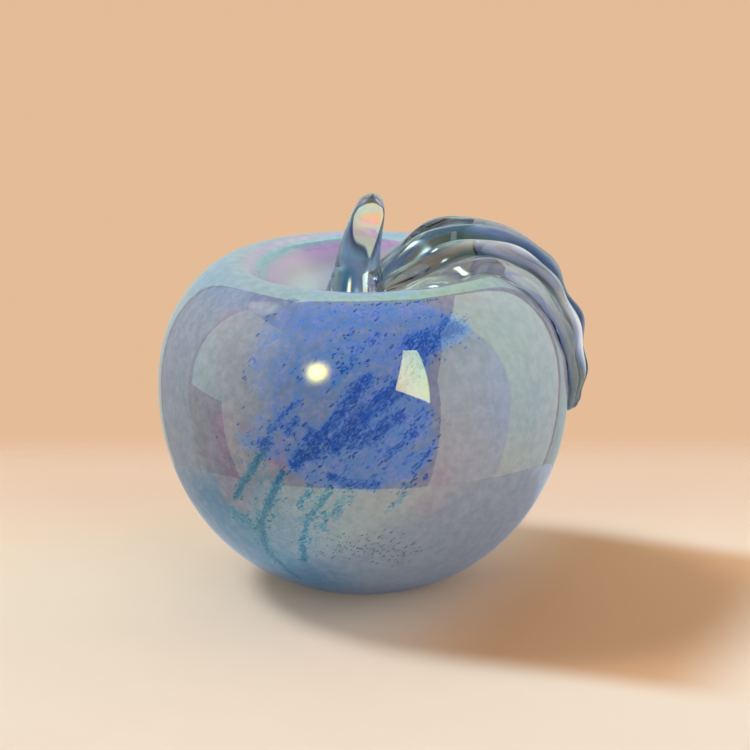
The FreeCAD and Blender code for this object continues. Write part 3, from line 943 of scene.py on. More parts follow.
def grain_group():
    """Grains of crushed glass drawn out along a slant.

    The place is turned to the slant, then squeezed along it, and read by a fine and a broad noise.
    Amount is the density plus both noises, and Mask is where it passes the least amount.
    """
    group, entry, leave = new_group(
        "frit_grain",
        [("Coordinates", "NodeSocketVector", None), ("Density", "NodeSocketFloat", 0.5),
         ("Grain Scale", "NodeSocketFloat", 1500.0), ("Softness", "NodeSocketFloat", 0.12)],
        [("Mask", "NodeSocketFloat"), ("Amount", "NodeSocketFloat")])
    amount = entry["Density"]
    for stretch, detail, roughness, strength in (((2.4, 1.4, 1.0), 2.0, 0.6, 1.25),
                                                 ((9.0, 4.0, 3.4), 3.0, 0.62, 1.0)):
        turned = add_node(group, "ShaderNodeMapping", {"vector_type": "TEXTURE"}, Vector=entry["Coordinates"],
                          Rotation=(0.0, math.radians(-GRAIN_SLANT), 0.0), Scale=stretch).outputs[0]
        noise = soft_noise(group, turned, entry["Grain Scale"], detail, Roughness=roughness)
        part = maths(group, "MULTIPLY", maths(group, "SUBTRACT", noise, 0.5), strength)
        amount = maths(group, "ADD", amount, part)
    over = maths(group, "DIVIDE", maths(group, "SUBTRACT", amount, 0.42), entry["Softness"])
    mask = maths(group, "MULTIPLY", maths(group, "ADD", over, 0.5, clamp=True),
                 ramp(group, entry["Density"], 0.02, 0.20))
    group.links.new(mask, leave["Mask"])
    group.links.new(amount, leave["Amount"])
    return group


def lustre_group():
    """Slow swirls of a fumed finish: a soft noise blends a tint from one colour to another."""
    group, entry, leave = new_group(
        "fumed_lustre",
        [("Coordinates", "NodeSocketVector", None), ("First", "NodeSocketColor", (1, 1, 1, 1)),
         ("Second", "NodeSocketColor", (1, 1, 1, 1)), ("Swirl Scale", "NodeSocketFloat", 40.0)],
        [("Color", "NodeSocketColor"), ("Height", "NodeSocketFloat")])
    noise = soft_noise(group, entry["Coordinates"], entry["Swirl Scale"], 2.0, Roughness=0.5, Distortion=0.6)
    colour = mix_colours(group, ramp(group, noise, 0.35, 0.65), entry["First"], entry["Second"])
    group.links.new(colour, leave["Color"])
    group.links.new(noise, leave["Height"])
    return group


def shared(name):
    """The shader group of that name, built on first use."""
    found = bpy.data.node_groups.get(name)
    return found or {"frit_grain": grain_group, "fumed_lustre": lustre_group}[name]()


def group_node(tree, name, **inputs):
    """A shared group placed in a material, with its inputs filled by name."""
    return add_node(tree, "ShaderNodeGroup", {"node_tree": shared(name)}, **inputs)


def object_coordinates(tree):
    """Place on the piece in its own frame."""
    return add_node(tree, "ShaderNodeTexCoord").outputs["Object"]


def attribute(tree, name, output="Fac"):
    """Values or colours painted on the vertices."""
    return add_node(tree, "ShaderNodeAttribute", {"attribute_name": name}).outputs[output]


def glass_material(name, recipe, paint_name=None, haze_name=None):
    """Clear glass with a fumed film. Lamps shine through it in part, as through real clear glass.

    Where a piece is painted, its painted highlights and reflections are added as a faint glow, and
    its film thins out with the film values. Haze values make the surface rougher.
    """
    first, second, swirl, roughness, film, ripple = recipe
    thin, thick, film_scale, film_index = film
    material, tree = new_material(name)
    place = object_coordinates(tree)
    lustre = group_node(tree, "fumed_lustre", Coordinates=place, First=colour4(first),
                        Second=colour4(second), Swirl_Scale=swirl)
    tint = lustre.outputs["Color"]
    film_depth = ramp(tree, soft_noise(tree, place, film_scale, 1.0), 0.3, 0.7, thin, thick)
    if paint_name:
        tint = mix_colours(tree, attribute(tree, paint_name + "_share"), tint,
                           attribute(tree, paint_name, "Color"))
        film_depth = maths(tree, "MULTIPLY", film_depth, attribute(tree, "film"))
    if haze_name:
        haze = maths(tree, "MULTIPLY", attribute(tree, haze_name), HAZE_ROUGHNESS)
        roughness = maths(tree, "ADD", haze, roughness)
    normal = add_node(tree, "ShaderNodeBump", Strength=ripple[0], Distance=ripple[1],
                      Height=lustre.outputs["Height"]).outputs[0]
    glass = add_node(tree, "ShaderNodeBsdfPrincipled", Base_Color=tint, Roughness=roughness, IOR=1.5,
                     Transmission_Weight=1.0, Normal=normal, Thin_Film_Thickness=film_depth,
                     Thin_Film_IOR=film_index)
    # Painted highlights and reflections: the painted colours glow on the glass
    if paint_name:
        fill(tree, glass.inputs["Emission Color"], attribute(tree, "painted_highlight", "Color"))
        fill(tree, glass.inputs["Emission Strength"], 1.0)
    clear = add_node(tree, "ShaderNodeBsdfTransparent", Color=colour4(CLEAR_SHADOW))
    path = add_node(tree, "ShaderNodeLightPath")
    through = maths(tree, "MAXIMUM", path.outputs["Is Shadow Ray"], path.outputs["Is Diffuse Ray"])
    mixed = add_node(tree, "ShaderNodeMixShader", i0=through, i1=glass.outputs[0], i2=clear.outputs[0])
    add_node(tree, "ShaderNodeOutputMaterial", Surface=mixed.outputs[0])
    return material


def coat_material(finish):
    """Opaque colour coat: a painted ground with pale and slate flecks, and frit powder over it."""
    material, tree = new_material("colour_coat")
    place = object_coordinates(tree)
    mottle = soft_noise(tree, place, MOTTLE_SCALE, 4.0, Roughness=0.65)
    ground = mix_colours(tree, ramp(tree, mottle, 0.40, 0.72, 0.0, 0.30), attribute(tree, "ground", "Color"),
                         PALE_FLECK)
    ground = mix_colours(tree, ramp(tree, mottle, 0.50, 0.28, 0.0, 0.28), ground, SLATE_FLECK)
    cobalt = group_node(tree, "frit_grain", Coordinates=place, Density=attribute(tree, "cobalt"),
                        Grain_Scale=FRIT_SCALE, Softness=0.34)
    thin = mix_colours(tree, ramp(tree, mottle, 0.45, 0.65), finish.slate_colour, finish.violet_colour)
    frit = mix_colours(tree, ramp(tree, cobalt.outputs["Amount"], 0.52, 1.00), thin, finish.cobalt_colour)
    frit = mix_colours(tree, ramp(tree, cobalt.outputs["Amount"], 0.95, 1.30), frit, finish.navy_colour)
    covered = mix_colours(tree, cobalt.outputs["Mask"], ground, frit)
    aqua = group_node(tree, "frit_grain", Coordinates=place, Density=attribute(tree, "aqua"),
                      Grain_Scale=FRIT_SCALE, Softness=0.26)
    aqua_tone = mix_colours(tree, ramp(tree, aqua.outputs["Amount"], 0.45, 0.90), finish.pale_aqua_colour,
                            finish.aqua_colour)
    covered = mix_colours(tree, aqua.outputs["Mask"], covered, aqua_tone)
    add_node(tree, "ShaderNodeOutputMaterial", Surface=opaque(tree, covered, 0.45, 0.1))
    return material


def opal_material():
    """Milky inner glass with faint clouding."""
    material, tree = new_material("opal_inner")
    lustre = group_node(tree, "fumed_lustre", Coordinates=object_coordinates(tree),
                        First=(0.72, 0.74, 0.80, 1), Second=(0.80, 0.79, 0.84, 1), Swirl_Scale=60.0)
    add_node(tree, "ShaderNodeOutputMaterial", Surface=opaque(tree, lustre.outputs["Color"], 0.3))
    return material


# Operators


class GLASSAPPLE_OT_casing(Operator):
    """Clear casing over the colour."""
    bl_idname = "glassapple.casing"
    bl_label = "Clear casing"

    def execute(self, context):
        sizes = context.scene.glass_apple_body
        outer = body_outline(sizes, sizes.outline_steps)[0]
        outer = np.vstack([outer, (0.0, 0.0)])
        inner = coat_outline(sizes, sizes.casing_wall + sizes.casing_lap, sizes.outline_steps // 2)
        shells = [turned_shell(outer, sizes.round_steps, False),
                  turned_shell(inner, sizes.round_steps // 2, True)]
        piece = make_piece("casing", shells, glass_material("casing_glass", CASING_GLASS, haze_name="haze"))
        points = np.vstack([shell[0] for shell in shells])
        radius = np.hypot(points[:, 0], points[:, 1]) / sizes.lip_radius
        paint(piece, "haze", smooth_step(*HAZE_RADII, radius) * (points[:, 2] > sizes.equator_height))
        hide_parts("clear_casing")
        return {"FINISHED"}


def cobalt_density(points, outer):
    """Density of the cobalt frit: streaks over a thin layer inside the patch, and strokes behind."""
    streaks = marks_mask(points, COBALT_STREAKS + BACK_COBALT, outer)
    edge = placed(COBALT_OUTLINE + COBALT_OUTLINE[:1], outer)
    side = np.where(inside_outline(points, COBALT_OUTLINE), 1, -1)
    within = smooth_step(*PATCH_EDGE, side * line_distance(points, edge) / MM)
    return np.maximum(np.maximum(streaks, PATCH_LEAST) * within, marks_mask(points, BACK_COBALT, outer))


def ground_colours(points, outer, density, sizes, finish):
    """Ground of the coat: cooler low down, with blue shade, a veil of thin frit and rose over it."""
    low = 1 - smooth_step(*LOW_HEIGHTS, points[:, 2] / sizes.body_height)
    colours = tinted(np.array(finish.ground_colour), low, finish.low_colour)
    colours = tinted(colours, marks_mask(points, SHADE_MARKS, outer), finish.deep_colour)
    veil = THIN_FRIT_STRENGTH * smooth_step(*THIN_FRIT_DENSITIES, density)
    colours = tinted(colours, veil, finish.slate_colour)
    rose = ROSE_STRENGTH * marks_mask(points, ROSE_MARKS + BACK_ROSE, outer)
    return tinted(colours, rose, finish.rose_colour)


def dimple_colours(colours, points, sizes):
    """Ground colours with the dimple's tints, painted light and a painted reflection among them, then painted
    lustre rings.
    """
    height = points[:, 2] / sizes.body_height
    ring_x, ring_y = RING_CENTRE
    distance = np.hypot(points[:, 0] / MM - ring_x, points[:, 1] / MM - ring_y)
    leftward = smooth_step(*LEFTWARD_SHARES, points[:, 0] / sizes.lip_radius)
    # The basin's tint is painted light, and the lip's sage is a painted reflection
    for colour, (right, left), heights, reach in DIMPLE_TINTS_AND_LIGHT:
        strength = right + (left - right) * leftward
        colours = tinted(colours, strength * smooth_step(*heights, height) * smooth_step(*reach, distance),
                         colour)
    kept = smooth_step(*RING_FADE, (points[:, 1] - RING_FADE_SLOPE * points[:, 0]) / MM)
    kept = RING_STRENGTH * kept * smooth_step(*RING_HEIGHTS, height)
    # Painted reflection: the film's iridescent colours as rings in the coat
    for radius, width, colour in LUSTRE_REFLECTION_RINGS:
        colours = tinted(colours, kept * np.exp(-((distance - radius) / width) ** 2), colour)
    return colours


class GLASSAPPLE_OT_coat(Operator):
    """Colour coat with its frit, under the casing."""
    bl_idname = "glassapple.coat"
    bl_label = "Colour coat"

    def execute(self, context):
        sizes, finish = context.scene.glass_apple_body, context.scene.glass_apple_finish
        outer = coat_outline(sizes, sizes.casing_wall, sizes.outline_steps)
        inner = coat_outline(sizes, sizes.casing_wall + sizes.colour_wall, sizes.outline_steps // 2)
        shells = [turned_shell(outer, sizes.round_steps, False),
                  turned_shell(inner, sizes.round_steps // 3, True)]
        piece = make_piece("colour_coat", shells, coat_material(finish))
        points = np.vstack([shell[0] for shell in shells])
        density = cobalt_density(points, outer)
        ground = ground_colours(points, outer, density, sizes, finish)
        paint(piece, "ground", dimple_colours(ground, points, sizes))
        paint(piece, "cobalt", density)
        paint(piece, "aqua", marks_mask(points, AQUA_STREAKS + BACK_AQUA, outer))
        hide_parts("lavender_ground")
        return {"FINISHED"}


def grains_piece(name, outline, centres, lengths, widths, tones, material):
    """Flat chips of glass lying on the coat, drawn out along the slant.

    Each chip is a ring of six corners between a low top and bottom point. A corner is the centre
    plus its share of the length along the slant, of the width across it, and a random pull.
    """
    random = np.random.default_rng(SEED + len(name))
    count, corners = len(centres), GRAIN_CORNERS
    flat, _, way_out = outline_under(centres, outline)
    round_way = centres[:, :2] / flat[:, :1]
    out = np.column_stack([way_out[:, :1] * round_way, way_out[:, 1]])
    level = np.column_stack([-round_way[:, 1], round_way[:, 0], np.zeros(count)])
    climb = np.cross(out, level)
    slant = np.radians(GRAIN_SLANT + random.normal(0, GRAIN_SLANT_SPREAD, count))[:, None]
    along = level * np.cos(slant) + climb * np.sin(slant)
    aside = np.cross(out, along)
    turn = np.arange(corners) * 2 * np.pi / corners
    pull = random.uniform(*GRAIN_PULL, (count, corners))
    ring = (centres[:, None, :]
            + along[:, None, :] * (pull * np.cos(turn))[..., None] * lengths[:, None, None] / 2
            + aside[:, None, :] * (pull * np.sin(turn))[..., None] * widths[:, None, None] / 2)
    rise = out * (widths * GRAIN_THICKNESS)[:, None]
    ends = np.stack([centres + rise, centres - rise], axis=1)
    points = np.concatenate([ring, ends], axis=1).reshape(-1, 3)
    one, two = np.arange(corners), (np.arange(corners) + 1) % corners
    chip = np.vstack([np.stack([one, two, np.full(corners, corners)], axis=1),
                      np.stack([two, one, np.full(corners, corners + 1)], axis=1)])
    faces = (chip[None, :, :] + (corners + 2) * np.arange(count)[:, None, None]).reshape(-1, 3)
    piece = make_piece(name, [(points, np.empty((0, 4), int), faces)], material)
    paint(piece, "tone", np.repeat(tones, corners + 2))
    return piece


def scattered(places, spread, count, outline, random):
    """Random points on the outline's turned surface, fewer with the distance from a run of places."""
    places = np.asarray(places, float)
    low, high = places.min(axis=0) - TRY_MARGIN, places.max(axis=0) + TRY_MARGIN
    tries = np.column_stack([random.uniform(low[0], high[0], TRIES_A_GRAIN * count),
                             random.uniform(low[1], high[1], TRIES_A_GRAIN * count)])
    tries[:, 1] = np.clip(tries[:, 1], *TRY_HEIGHTS)
    spots = placed(tries, outline)
    distance = line_distance(spots, placed(places, outline)) / (spread * MM)
    return spots[random.uniform(0, 1, len(spots)) < np.exp(-1.6 * distance ** 2)][:count]


def streak_spots(streaks, crowd, outline, random):
    """Random points along streaks, with more of them on long, wide and strong ones."""
    spots = []
    for places, width, strength in streaks:
        run = np.linalg.norm(np.diff(placed(places, outline), axis=0), axis=1).sum() / MM
        count = int(crowd * strength ** 2 * (run * 0.5 + width) / 2)
        spots.append(scattered(places, width, max(count, LEAST_GRAINS), outline, random))
    return np.vstack(spots)


def frit_material(name, dark, light):
    """Glass grains: one tone to a grain, from a dark to a light colour, with faint mottling."""
    material, tree = new_material(name)
    lustre = group_node(tree, "fumed_lustre", Coordinates=object_coordinates(tree),
                        First=colour4(dark), Second=colour4([0.8 * value for value in dark]),
                        Swirl_Scale=900.0)
    tone = mix_colours(tree, attribute(tree, "tone"), lustre.outputs["Color"], light)
    add_node(tree, "ShaderNodeOutputMaterial", Surface=opaque(tree, tone, 0.35, 0.2))
    return material


class GLASSAPPLE_OT_frit(Operator):
    """Cobalt, aqua and dark grains lying on the coat."""
    bl_idname = "glassapple.frit"
    bl_label = "Frit grains"

    def execute(self, context):
        sizes, finish = context.scene.glass_apple_body, context.scene.glass_apple_finish
        outline = coat_outline(sizes, sizes.casing_wall, 400)
        kinds = (
            ("cobalt_grains", "cobalt_patch", "cobalt_frit", COBALT_STREAKS + BACK_COBALT, COBALT_CROWD,
             finish.cobalt_colour, finish.slate_colour),
            ("aqua_grains", "aqua_trails", "aqua_frit", AQUA_STREAKS + BACK_AQUA, AQUA_CROWD,
             finish.aqua_colour, finish.pale_aqua_colour),
        )
        for name, node, slot, streaks, crowd, dark, light in kinds:
            random = np.random.default_rng(SEED)
            spots = streak_spots(streaks, crowd, outline, random)
            self.lay(name, node, slot, spots, outline, random, COLOUR_GRAIN_SIZES, (dark, light))
        random = np.random.default_rng(SEED)
        spots = np.vstack([scattered(*group, outline, random) for group in CHIP_GROUPS])
        self.lay("dark_grains", "dark_chips", "dark_frit", spots, outline, random, CHIP_SIZES,
                 (finish.speck_colour, PALE_CHIP))
        return {"FINISHED"}

    def lay(self, name, node, slot, spots, outline, random, sizes, colours):
        """Make one piece of all the grains of a colour. Most are short and near the dark tone."""
        count = len(spots)
        (shortest, longest), (narrowest, widest) = sizes
        lengths = MM * (shortest + (longest - shortest) * random.uniform(0, 1, count) ** 2)
        widths = np.minimum(MM * random.uniform(narrowest, widest, count), lengths * 0.7)
        tones = random.uniform(0, 1, count) ** 1.5
        piece = grains_piece(name, outline, spots, lengths, widths, tones, frit_material(name, *colours))
        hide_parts(node)


class GLASSAPPLE_OT_opal(Operator):
    """Milky glass inside the coat."""
    bl_idname = "glassapple.opal"
    bl_label = "Opal bubble"

    def execute(self, context):
        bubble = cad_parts["opal_bubble"]
        material = opal_material()
        for slot in bubble.material_slots:
            slot.material = material
        return {"FINISHED"}


def spot_share(across, level, spot):
    """Soft oval spot: e to the minus square of each distance from its middle over its half size."""
    middle, half_width, height, half_height = spot
    return np.exp(-((across - middle) / half_width) ** 2 - ((level - height) / half_height) ** 2)


def stem_looks(rise, turn):
    """Tint, painted share, film and painted highlight of the stem, one value for each point.

    The pressed face has a glowing window of painted reflection in a rim of painted shade, soft spots
    of colour and two painted glints.
    """
    across = np.cos(turn)[None, :] + 0 * rise[:, None]
    level = rise[:, None] + 0 * across
    front = (np.sin(turn)[None, :] < 0.1) + 0 * across
    heights, middles, halves = np.array(STEM_REFLECTION_WINDOW).T
    half = np.interp(level, heights, halves)
    off = np.abs(across - np.interp(level, heights, middles)) - half
    # Painted reflection: the window glows, and its film is thinner
    window = front * smooth_step(0.05, -0.03, off) * (half > 0)
    # Painted shade: a dark rim round the window, where the film is also thinner so that it mirrors less
    rim_shade = front * smooth_step(0.42, 0.10, off) * smooth_step(0.42, 0.56, level) * (1 - window)
    tint = np.array(STEM_FACE_TINT)
    for colour, spot in STEM_FACE_SPOTS:
        tint = tinted(tint, front * spot_share(across, level, spot), colour)
    tint = tinted(tint, rim_shade, STEM_RIM_SHADE)
    tint = tinted(tint, window, STEM_REFLECTION_TINT)
    glow = np.array(STEM_REFLECTION_GLOW)
    for colour, spot in STEM_REFLECTION_GLOW_SPOTS:
        glow = tinted(glow, spot_share(across, level, spot), colour)
    painted_highlight = glow * window[..., None]
    # Painted glints add to the painted highlight
    for spot in STEM_GLINTS:
        painted_highlight = painted_highlight + np.array(STEM_GLINT_HIGHLIGHT) * (front * spot_share(across, level, spot))[..., None]
    return tint, front, 1 - 0.9 * rim_shade - 0.6 * window, painted_highlight


class GLASSAPPLE_OT_stem(Operator):
    """Drawn stem with its pressed front."""
    bl_idname = "glassapple.stem"
    bl_label = "Stem"

    def execute(self, context):
        body, stem = context.scene.glass_apple_body, context.scene.glass_apple_stem
        rings, rise, turn = stem_points(body, stem, STEM_ROWS, STEM_COLUMNS)
        piece = make_piece("stem_drawn", [bedded_tube(body, rings, flip=True)],
                           glass_material("stem_glass", STEM_GLASS, paint_name="drop"))
        tint, share, film, painted_highlight = stem_looks(rise, turn)
        paint_rings(piece, "drop", tint, 0.5)
        paint_rings(piece, "drop_share", share, 0.0)
        paint_rings(piece, "film", film, 1.0)
        paint_rings(piece, "painted_highlight", painted_highlight, 0.0)
        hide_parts("stem")
        return {"FINISHED"}


def leaf_looks(across, share, is_top):
    """Darkening and painted highlights of the leaf, one value for each point.

    Painted shade fills the furrows, and the leaf is darker further down. Painted highlights weave
    along the crests, between rosy and minty tints, and a faint painted light lies on the near skirt.
    """
    # Painted shade in the furrows, then darker further down the leaf
    darkening = np.max([most * np.exp(-((across - middle) / wide) ** 2)
                    for middle, wide, most in LEAF_FURROWS], axis=0)
    darkening = np.minimum(darkening, 1) * smooth_step(0.08, 0.3, share)[:, None]
    darkening = darkening + LEAF_LOW_DARKENING * smooth_step(0.58, 0.75, share)[:, None] * (1 - darkening)
    # Painted highlights weave along the crests
    weave = CREST_WEAVE * np.sin(2 * np.pi * 2.3 * share)[:, None]
    crest = np.max([most * np.exp(-((across - middle - weave) / wide) ** 2)
                    for middle, wide, most in LEAF_CREST_HIGHLIGHTS], axis=0) * is_top
    along = smooth_step(0.18, 0.42, share) * (1 - smooth_step(0.88, 0.97, share))
    along = along * (0.78 + 0.22 * np.sin(2 * np.pi * 4.1 * share + 0.8))
    # Painted light on the near skirt
    skirt_light = LEAF_SKIRT_LIGHT * smooth_step(-0.45, -0.70, across) * is_top
    skirt_light = skirt_light * (1 - smooth_step(0.45, 0.62, share))[:, None]
    rosy = (0.5 + 0.5 * np.sin(2 * np.pi * 3.0 * share))[:, None]
    highlight_tint = tinted(np.array(MINTY_HIGHLIGHT), rosy, ROSY_HIGHLIGHT)
    return darkening, highlight_tint * (crest * along[:, None] + skirt_light)[..., None]


class GLASSAPPLE_OT_leaf(Operator):
    """Ribbed leaf laid from the stem over the lip."""
    bl_idname = "glassapple.leaf"
    bl_label = "Leaf"

    def execute(self, context):
        body, leaf = context.scene.glass_apple_body, context.scene.glass_apple_leaf
        rings, across, share, is_top = leaf_points(body, leaf)
        piece = make_piece("leaf_ribbed", [bedded_tube(body, rings)],
                           glass_material("leaf_glass", LEAF_GLASS, paint_name="furrow"))
        darkening, painted_highlight = leaf_looks(across, share, is_top)
        # Painted shade: a dark tint in the furrows, and a thinner film there that mirrors less
        paint(piece, "furrow", np.tile(FURROW_SHADE_TINT, (len(piece.data.vertices), 1)))
        paint_rings(piece, "furrow_share", darkening, 0.0)
        paint_rings(piece, "film", 1 - darkening, 1.0)
        paint_rings(piece, "painted_highlight", painted_highlight, 0.0)
        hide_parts("leaf")
        return {"FINISHED"}


def camera_frame():
    """Camera place, and the direction it looks in."""
    elevation = math.radians(CAMERA_ELEVATION)
    place = Vector((0, -math.cos(elevation), math.sin(elevation))) * CAMERA_DISTANCE
    forward = Vector((0, math.cos(elevation), -math.sin(elevation)))
    up = Vector((0, math.sin(elevation), math.cos(elevation)))
    return place, (forward + AIM_RIGHT * Vector((1, 0, 0)) + AIM_UP * up).normalized()


def mirrored(body, place):
    """Point at a place on the body, and the way in which it mirrors the camera's line of sight."""
    outline, runs = body_outline(body, 800)
    point = placed([place], outline)[0]
    nearest = np.argmin(np.hypot(outline[:, 0] - np.hypot(point[0], point[1]), outline[:, 1] - point[2]))
    turn = math.radians(place[0])
    out = Vector((-runs[nearest, 1] * math.sin(turn), runs[nearest, 1] * math.cos(turn), runs[nearest, 0]))
    sight = (Vector(point) - camera_frame()[0]).normalized()
    return Vector(point), sight - 2 * sight.dot(out) * out


def lamp_card(name, corners, brightness, colour, steps=9, is_round=False):
    """Soft box: a glowing sheet that the camera doesn't see, blended between its corners' brightness.

    A round one fades out evenly from its middle to its edge.
    """
    across, down = (side.ravel()[:, None] for side in np.meshgrid(*[np.linspace(0, 1, steps)] * 2))
    shares = ((1 - across) * (1 - down), across * (1 - down), across * down, (1 - across) * down)
    points = sum(share * np.array(corner) for share, corner in zip(shares, corners))
    glow = sum(share[:, 0] * value for share, value in zip(shares, brightness))
    if is_round:
        glow = glow * (1 - smooth_step(0.05, 1.0, 2 * np.hypot(across - 0.5, down - 0.5)[:, 0])) ** 5
    row = np.arange(steps - 1)
    first = (row[:, None] * steps + row[None, :]).ravel()
    mesh = bpy.data.meshes.new(name)
    mesh.from_pydata(points.tolist(), [],
                     np.stack([first, first + 1, first + steps + 1, first + steps], axis=1).tolist())
    layer = mesh.attributes.new("glow", "FLOAT", "POINT")
    layer.data.foreach_set("value", glow.astype(np.float32))
    material, tree = new_material(name)
    glow = add_node(tree, "ShaderNodeEmission", Color=colour4(colour), Strength=attribute(tree, "glow"))
    add_node(tree, "ShaderNodeOutputMaterial", Surface=glow.outputs[0])
    mesh.materials.append(material)
    card = bpy.data.objects.new(name, mesh)
    bpy.context.scene.collection.objects.link(card)
    card.visible_camera = False
    card.visible_transmission = False


def aimed_lamp(name, place, target, size, brightness, colour):
    """Square area lamp of a given radiance, aimed at a point."""
    lamp = bpy.data.lights.new(name, "AREA")
    lamp.size = size
    lamp.energy = brightness * math.pi * size * size
    lamp.color = colour
    holder = bpy.data.objects.new(name, lamp)
    holder.location = place
    holder.rotation_euler = (Vector(target) - Vector(place)).to_track_quat("-Z", "Y").to_euler()
    holder.visible_camera = False
    bpy.context.scene.collection.objects.link(holder)
    return holder


def from_angles(azimuth, elevation):
    """Direction at an azimuth round from the front and an elevation above level, in degrees."""
    azimuth, elevation = math.radians(azimuth), math.radians(elevation)
    return Vector((math.sin(azimuth) * math.cos(elevation), -math.cos(azimuth) * math.cos(elevation),
                   math.sin(elevation)))


def floor_tones(tree, place, sides, stage):
    """Colour of the floor: faint mottling, tones to the right and back, and a painted warm shadow tone in the
    long shadow.
    """
    colour = mix_colours(tree, ramp(tree, soft_noise(tree, place, 60.0, 5.0), 0.3, 0.7, 0.0, 0.06),
                         stage.floor_colour, FLOOR_MOTTLE)
    colour = mix_colours(tree, ramp(tree, sides["X"], *RIGHT_RISE), colour, RIGHT_TONE)
    colour = mix_colours(tree, ramp(tree, sides["Y"], *BACK_RISE), colour, BACK_TONE)
    along, aside = [add_node(tree, "ShaderNodeVectorMath", {"operation": "DOT_PRODUCT"},
                             i0=place, i1=way).outputs["Value"] for way in (SHADOW_WAY, SHADOW_SIDE)]
    # Painted shadow tone along the long shadow
    painted_shadow = maths(tree, "MULTIPLY", ramp(tree, along, *SHADOW_START), ramp(tree, along, *SHADOW_END))
    painted_shadow = maths(tree, "MULTIPLY", painted_shadow, ramp(tree, maths(tree, "ABSOLUTE", aside), *SHADOW_EDGE))
    return mix_colours(tree, painted_shadow, colour, PAINTED_SHADOW_TONE)


def floor_material(stage):
    """Matt floor that fades to clear far off and behind the body, and ends sooner where it is mirrored."""
    material, tree = new_material("pale_floor")
    place = object_coordinates(tree)
    sides = add_node(tree, "ShaderNodeSeparateXYZ", Vector=place).outputs
    glossy = add_node(tree, "ShaderNodeLightPath").outputs["Is Glossy Ray"]
    mirrored_tint = mix_colours(tree, ramp(tree, sides["X"], *MIRRORED_LEFT_RISE), MIRRORED_TINT,
                                MIRRORED_LEFT_TINT)
    colour = mix_colours(tree, maths(tree, "MULTIPLY", glossy, MIRRORED_STRENGTH),
                         floor_tones(tree, place, sides, stage), mirrored_tint)
    far = add_node(tree, "ShaderNodeVectorMath", {"operation": "LENGTH"}, i0=place).outputs["Value"]
    fade = ramp(tree, far, *[stage.floor_radius * share for share in FADE_SHARES])
    fade = maths(tree, "MAXIMUM", fade, ramp(tree, sides["Y"], *BACK_END))
    table_end = maths(tree, "MULTIPLY", glossy, ramp(tree, far, *MIRRORED_TABLE_END))
    fade = maths(tree, "MAXIMUM", fade, table_end)
    clear = add_node(tree, "ShaderNodeBsdfTransparent").outputs[0]
    mixed = add_node(tree, "ShaderNodeMixShader", i0=fade, i1=opaque(tree, colour, 0.8, 0.1), i2=clear)
    add_node(tree, "ShaderNodeOutputMaterial", Surface=mixed.outputs[0])
    return material


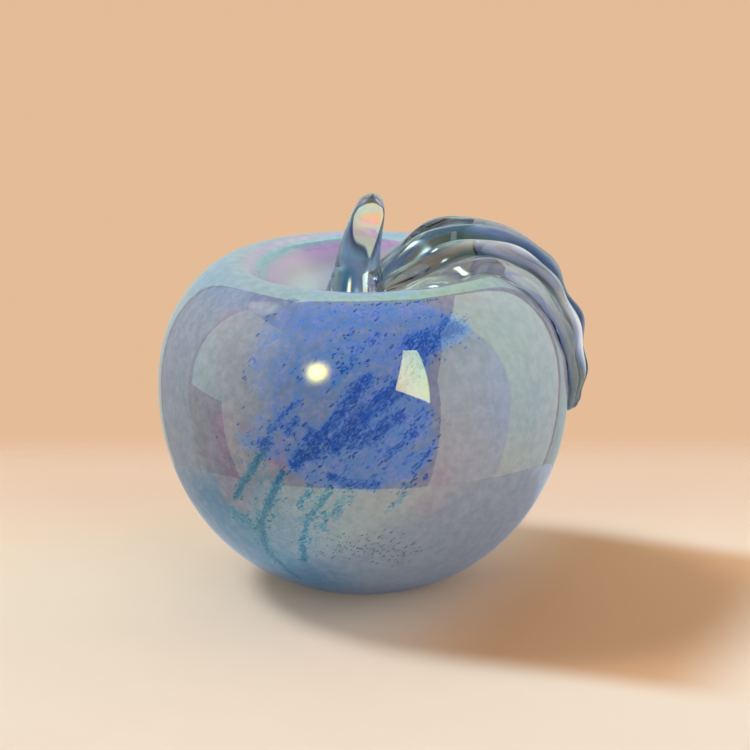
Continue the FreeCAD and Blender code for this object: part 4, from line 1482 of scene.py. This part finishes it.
class GLASSAPPLE_OT_stage(Operator):
    """Pale floor, background, lamps and camera."""
    bl_idname = "glassapple.stage"
    bl_label = "Stage"

    def execute(self, context):
        body, stage = context.scene.glass_apple_body, context.scene.glass_apple_stage
        self.floor(stage)
        self.room(stage)
        middle = Vector((0, 0, body.equator_height))
        for name, (corners, brightness, colour) in CARDS.items():
            lamp_card(name, [middle + CARD_DISTANCE * from_angles(*corner) for corner in corners],
                      brightness, colour)
        places = [mirrored(body, place) for place in WINDOW_PLACES]
        lamp_card("window_card", [point + CARD_DISTANCE * way for point, way in places], WINDOW_GLOW,
                  WINDOW_COLOUR)
        point, way = mirrored(body, ROUND_LAMP_PLACE)
        side = way.cross(Vector((0, 0, 1))).normalized()
        rise = side.cross(way) * ROUND_LAMP_TALL
        centre = point + way * CARD_DISTANCE
        lamp_card("round_card", [centre + ROUND_LAMP_SIZE / 2 * (across * side + up * rise)
                                 for across, up in ((-1, -1), (1, -1), (1, 1), (-1, 1))],
                  [ROUND_LAMP_GLOW] * 4, ROUND_LAMP_COLOUR, ROUND_LAMP_STEPS, is_round=True)
        key = middle + from_angles(*KEY_PLACE) * KEY_DISTANCE
        key_lamp = aimed_lamp("key_lamp", key, middle, KEY_SIZE, stage.key_brightness, KEY_COLOUR)
        key_lamp.visible_glossy = False
        self.camera()
        return {"FINISHED"}

    def floor(self, stage):
        """Level disc that fades into the background far from the object."""
        turn = np.linspace(0, 2 * np.pi, FLOOR_STEPS, endpoint=False)
        mesh = bpy.data.meshes.new("floor")
        mesh.from_pydata([(stage.floor_radius * math.cos(angle), stage.floor_radius * math.sin(angle), 0.0)
                          for angle in turn], [], [tuple(range(FLOOR_STEPS))])
        mesh.materials.append(floor_material(stage))
        floor = bpy.data.objects.new("floor", mesh)
        bpy.context.scene.collection.objects.link(floor)

    def room(self, stage):
        """World: a pale background for the camera and for glass, brighter behind, and an even room light."""
        world = bpy.data.worlds.new("room")
        world.use_nodes = True
        tree = world.node_tree
        tree.nodes.clear()
        path = add_node(tree, "ShaderNodeLightPath")
        seen = maths(tree, "MAXIMUM", path.outputs["Is Camera Ray"], path.outputs["Is Transmission Ray"])
        backdrop = add_node(tree, "ShaderNodeBackground", Color=colour4(stage.wall_colour), Strength=1.0)
        way = add_node(tree, "ShaderNodeSeparateXYZ",
                       Vector=add_node(tree, "ShaderNodeTexCoord").outputs["Generated"])
        depth = ramp(tree, way.outputs["Y"], *MIRRORED_ROOM)
        mirror_colour = mix_colours(tree, depth, (0.0, 0.0, 0.0), stage.wall_colour)
        mirror = add_node(tree, "ShaderNodeBackground", Color=mirror_colour, Strength=1.0)
        even = add_node(tree, "ShaderNodeBackground", Color=colour4(ROOM_COLOUR),
                        Strength=stage.room_brightness)
        glossy = add_node(tree, "ShaderNodeMixShader", i0=path.outputs["Is Glossy Ray"],
                          i1=even.outputs[0], i2=mirror.outputs[0])
        mixed = add_node(tree, "ShaderNodeMixShader", i0=seen, i1=glossy.outputs[0], i2=backdrop.outputs[0])
        add_node(tree, "ShaderNodeOutputWorld", Surface=mixed.outputs[0])
        bpy.context.scene.world = world

    def camera(self):
        """The scene's camera, without depth of field."""
        place, forward = camera_frame()
        camera = bpy.data.cameras.new("camera")
        camera.lens = CAMERA_LENS
        camera.sensor_width = SENSOR_WIDTH
        holder = bpy.data.objects.new("camera", camera)
        holder.location = place
        holder.rotation_euler = forward.to_track_quat("-Z", "Y").to_euler()
        bpy.context.scene.collection.objects.link(holder)
        bpy.context.scene.camera = holder


class GLASSAPPLE_PT_panel(Panel):
    """Lists the operators and the sizes."""
    bl_idname = "GLASSAPPLE_PT_panel"
    bl_label = "Glass apple"
    bl_space_type = "VIEW_3D"
    bl_region_type = "UI"
    bl_category = "Glass apple"

    def draw(self, context):
        layout = self.layout
        for operator in OPERATORS:
            layout.operator(operator.bl_idname)
        for group in GROUPS:
            values = getattr(context.scene, group)
            for name in values.bl_rna.properties.keys():
                if name not in ("rna_type", "name"):
                    layout.prop(values, name)


GROUPS = {
    "glass_apple_body": GlassAppleBody,
    "glass_apple_stem": GlassAppleStem,
    "glass_apple_leaf": GlassAppleLeaf,
    "glass_apple_finish": GlassAppleFinish,
    "glass_apple_stage": GlassAppleStage,
}
OPERATORS = (GLASSAPPLE_OT_casing, GLASSAPPLE_OT_coat, GLASSAPPLE_OT_frit, GLASSAPPLE_OT_opal,
             GLASSAPPLE_OT_stem, GLASSAPPLE_OT_leaf, GLASSAPPLE_OT_stage)


def register():
    for entry in (*GROUPS.values(), *OPERATORS, GLASSAPPLE_PT_panel):
        bpy.utils.register_class(entry)
    for name, entry in GROUPS.items():
        setattr(bpy.types.Scene, name, PointerProperty(type=entry))


def unregister():
    for name in GROUPS:
        delattr(bpy.types.Scene, name)
    for entry in (GLASSAPPLE_PT_panel, *reversed(OPERATORS), *reversed(list(GROUPS.values()))):
        bpy.utils.unregister_class(entry)


def main():
    register()
    bpy.context.scene.view_settings.view_transform = "Standard"
    for operator in OPERATORS:
        group, name = operator.bl_idname.split(".")
        getattr(getattr(bpy.ops, group), name)()


if __name__ == "__main__":
    main()
